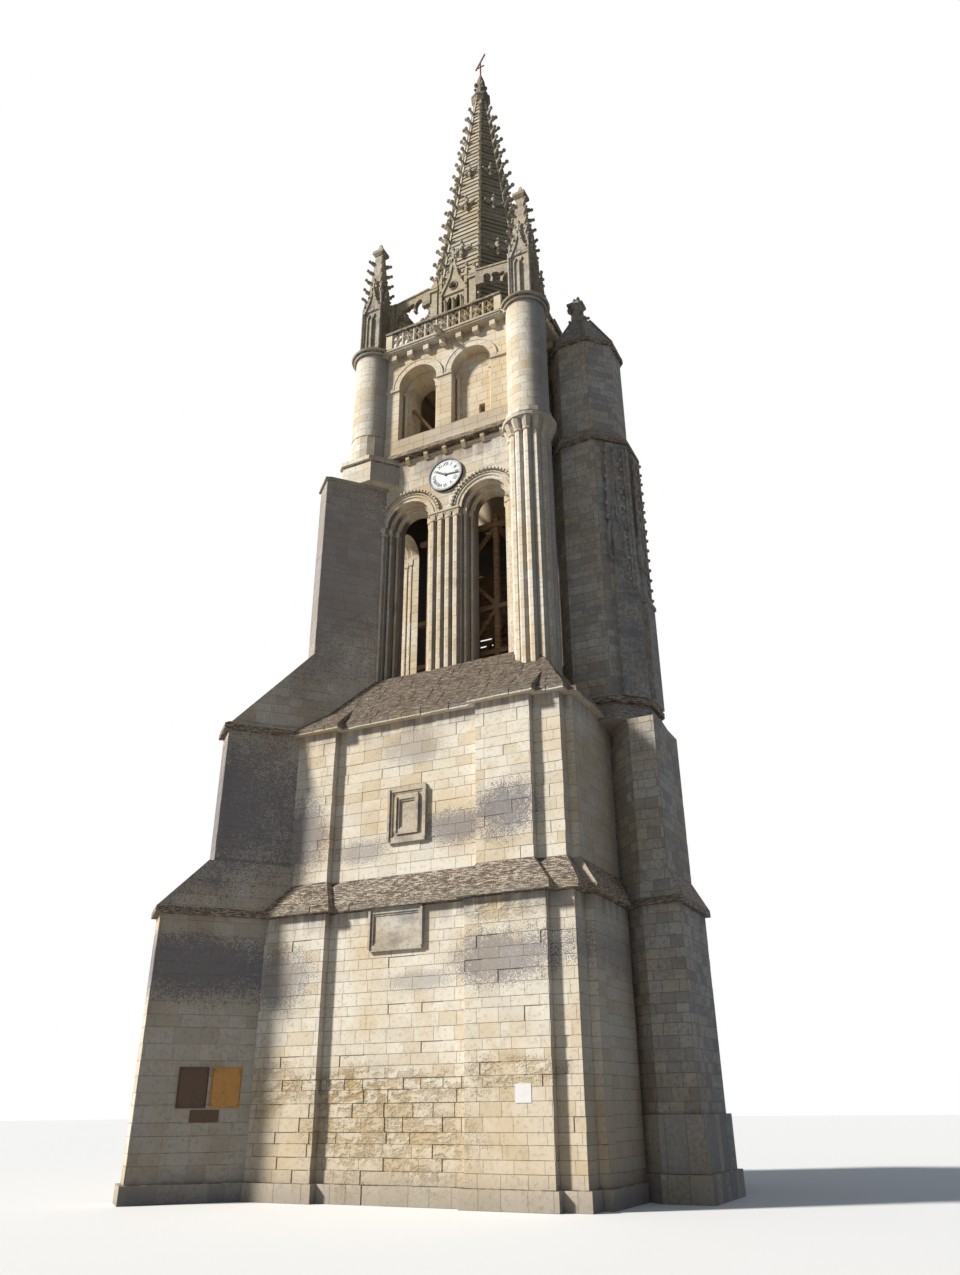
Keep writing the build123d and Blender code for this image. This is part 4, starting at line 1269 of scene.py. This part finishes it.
# floor, light and camera
def seenDirectly(tree):
    # 1 where the camera sees it, straight or in a mirror or through glass
    path = tree.nodes.new("ShaderNodeLightPath")
    total = path.outputs["Is Camera Ray"]
    for name in ("Is Glossy Ray", "Is Transmission Ray"):
        joined = tree.nodes.new("ShaderNodeMath")
        joined.operation = "MAXIMUM"
        tree.links.new(total, joined.inputs[0])
        tree.links.new(path.outputs[name], joined.inputs[1])
        total = joined.outputs[0]
    return total


floorLook = dict(size=60, lit=(0.24, 0.23, 0.22, 1.0), seen=(0.84, 0.83, 0.82, 1.0))


def makeFloor():
    only()
    bpy.ops.mesh.primitive_plane_add(size=floorLook["size"], location=(0, 0, 0))
    floor = newest("floor")
    web = Web("floorPaint")
    paint = web.blend(Wire(web, seenDirectly(web.tree)), floorLook["lit"], floorLook["seen"])
    floor.data.materials.append(web.feed(Base_Color=paint, Roughness=0.9))


lightLook = dict(skyColour=(0.64, 0.8, 1.0, 1.0), skyLevel=0.21, backColour=(1.0, 1.0, 1.0, 1.0), sun=4.75,
                 sunColour=(1.0, 0.975, 0.93), sunSoft=6, sunTurn=50, sunHeight=36)


def makeLight():
    look = lightLook
    world = bpy.data.worlds.new("studio")
    bpy.context.scene.world = world
    world.use_nodes = True
    tree = world.node_tree
    lit = tree.nodes["Background"]
    seen = tree.nodes.new("ShaderNodeBackground")
    for shader, colour, level in ((lit, "skyColour", look["skyLevel"]), (seen, "backColour", 1.0)):
        shader.inputs["Color"].default_value = look[colour]
        shader.inputs["Strength"].default_value = level
    mixer = tree.nodes.new("ShaderNodeMixShader")
    for index, socket in enumerate((seenDirectly(tree), lit.outputs[0], seen.outputs[0])):
        tree.links.new(socket, mixer.inputs[index])
    tree.links.new(mixer.outputs[0], tree.nodes["World Output"].inputs["Surface"])
    bpy.ops.object.light_add(type="SUN", location=(0, 0, 8))
    sun = newest("keyLight")
    sun.data.energy = look["sun"]
    sun.data.angle = radians(look["sunSoft"])
    sun.data.color = look["sunColour"]
    turn, rise = radians(look["sunTurn"]), radians(look["sunHeight"])
    toSun = Vector((-sin(turn) * cos(rise), -cos(turn) * cos(rise), sin(rise)))
    sun.rotation_mode = "QUATERNION"
    sun.rotation_quaternion = toSun.to_track_quat("Z", "Y")


cameraLook = dict(place=(1.4257, -2.9239, 0.2122), yaw=26.473, pitch=26.204, roll=-0.471, lens=27.134)


def makeCamera():
    yaw, pitch, roll = (radians(cameraLook[key]) for key in ("yaw", "pitch", "roll"))
    ahead = Vector((-sin(yaw) * cos(pitch), cos(yaw) * cos(pitch), sin(pitch)))
    right = Vector((cos(yaw), sin(yaw), 0))
    up = right.cross(ahead)
    side = right * cos(roll) + up * sin(roll)
    top = up * cos(roll) - right * sin(roll)
    bpy.ops.object.camera_add(location=(0, 0, 0))
    camera = newest("photoCamera")
    turn = Matrix((side, top, -ahead)).transposed().to_4x4()
    camera.matrix_world = shifted(*cameraLook["place"]) @ turn
    camera.data.lens = cameraLook["lens"]
    camera.data.sensor_width = 36
    camera.data.clip_end = 100
    bpy.context.scene.camera = camera


makeFloor()
makeLight()
makeCamera()
bpy.context.scene.view_settings.view_transform = "Standard"

print("stage, light and camera set")
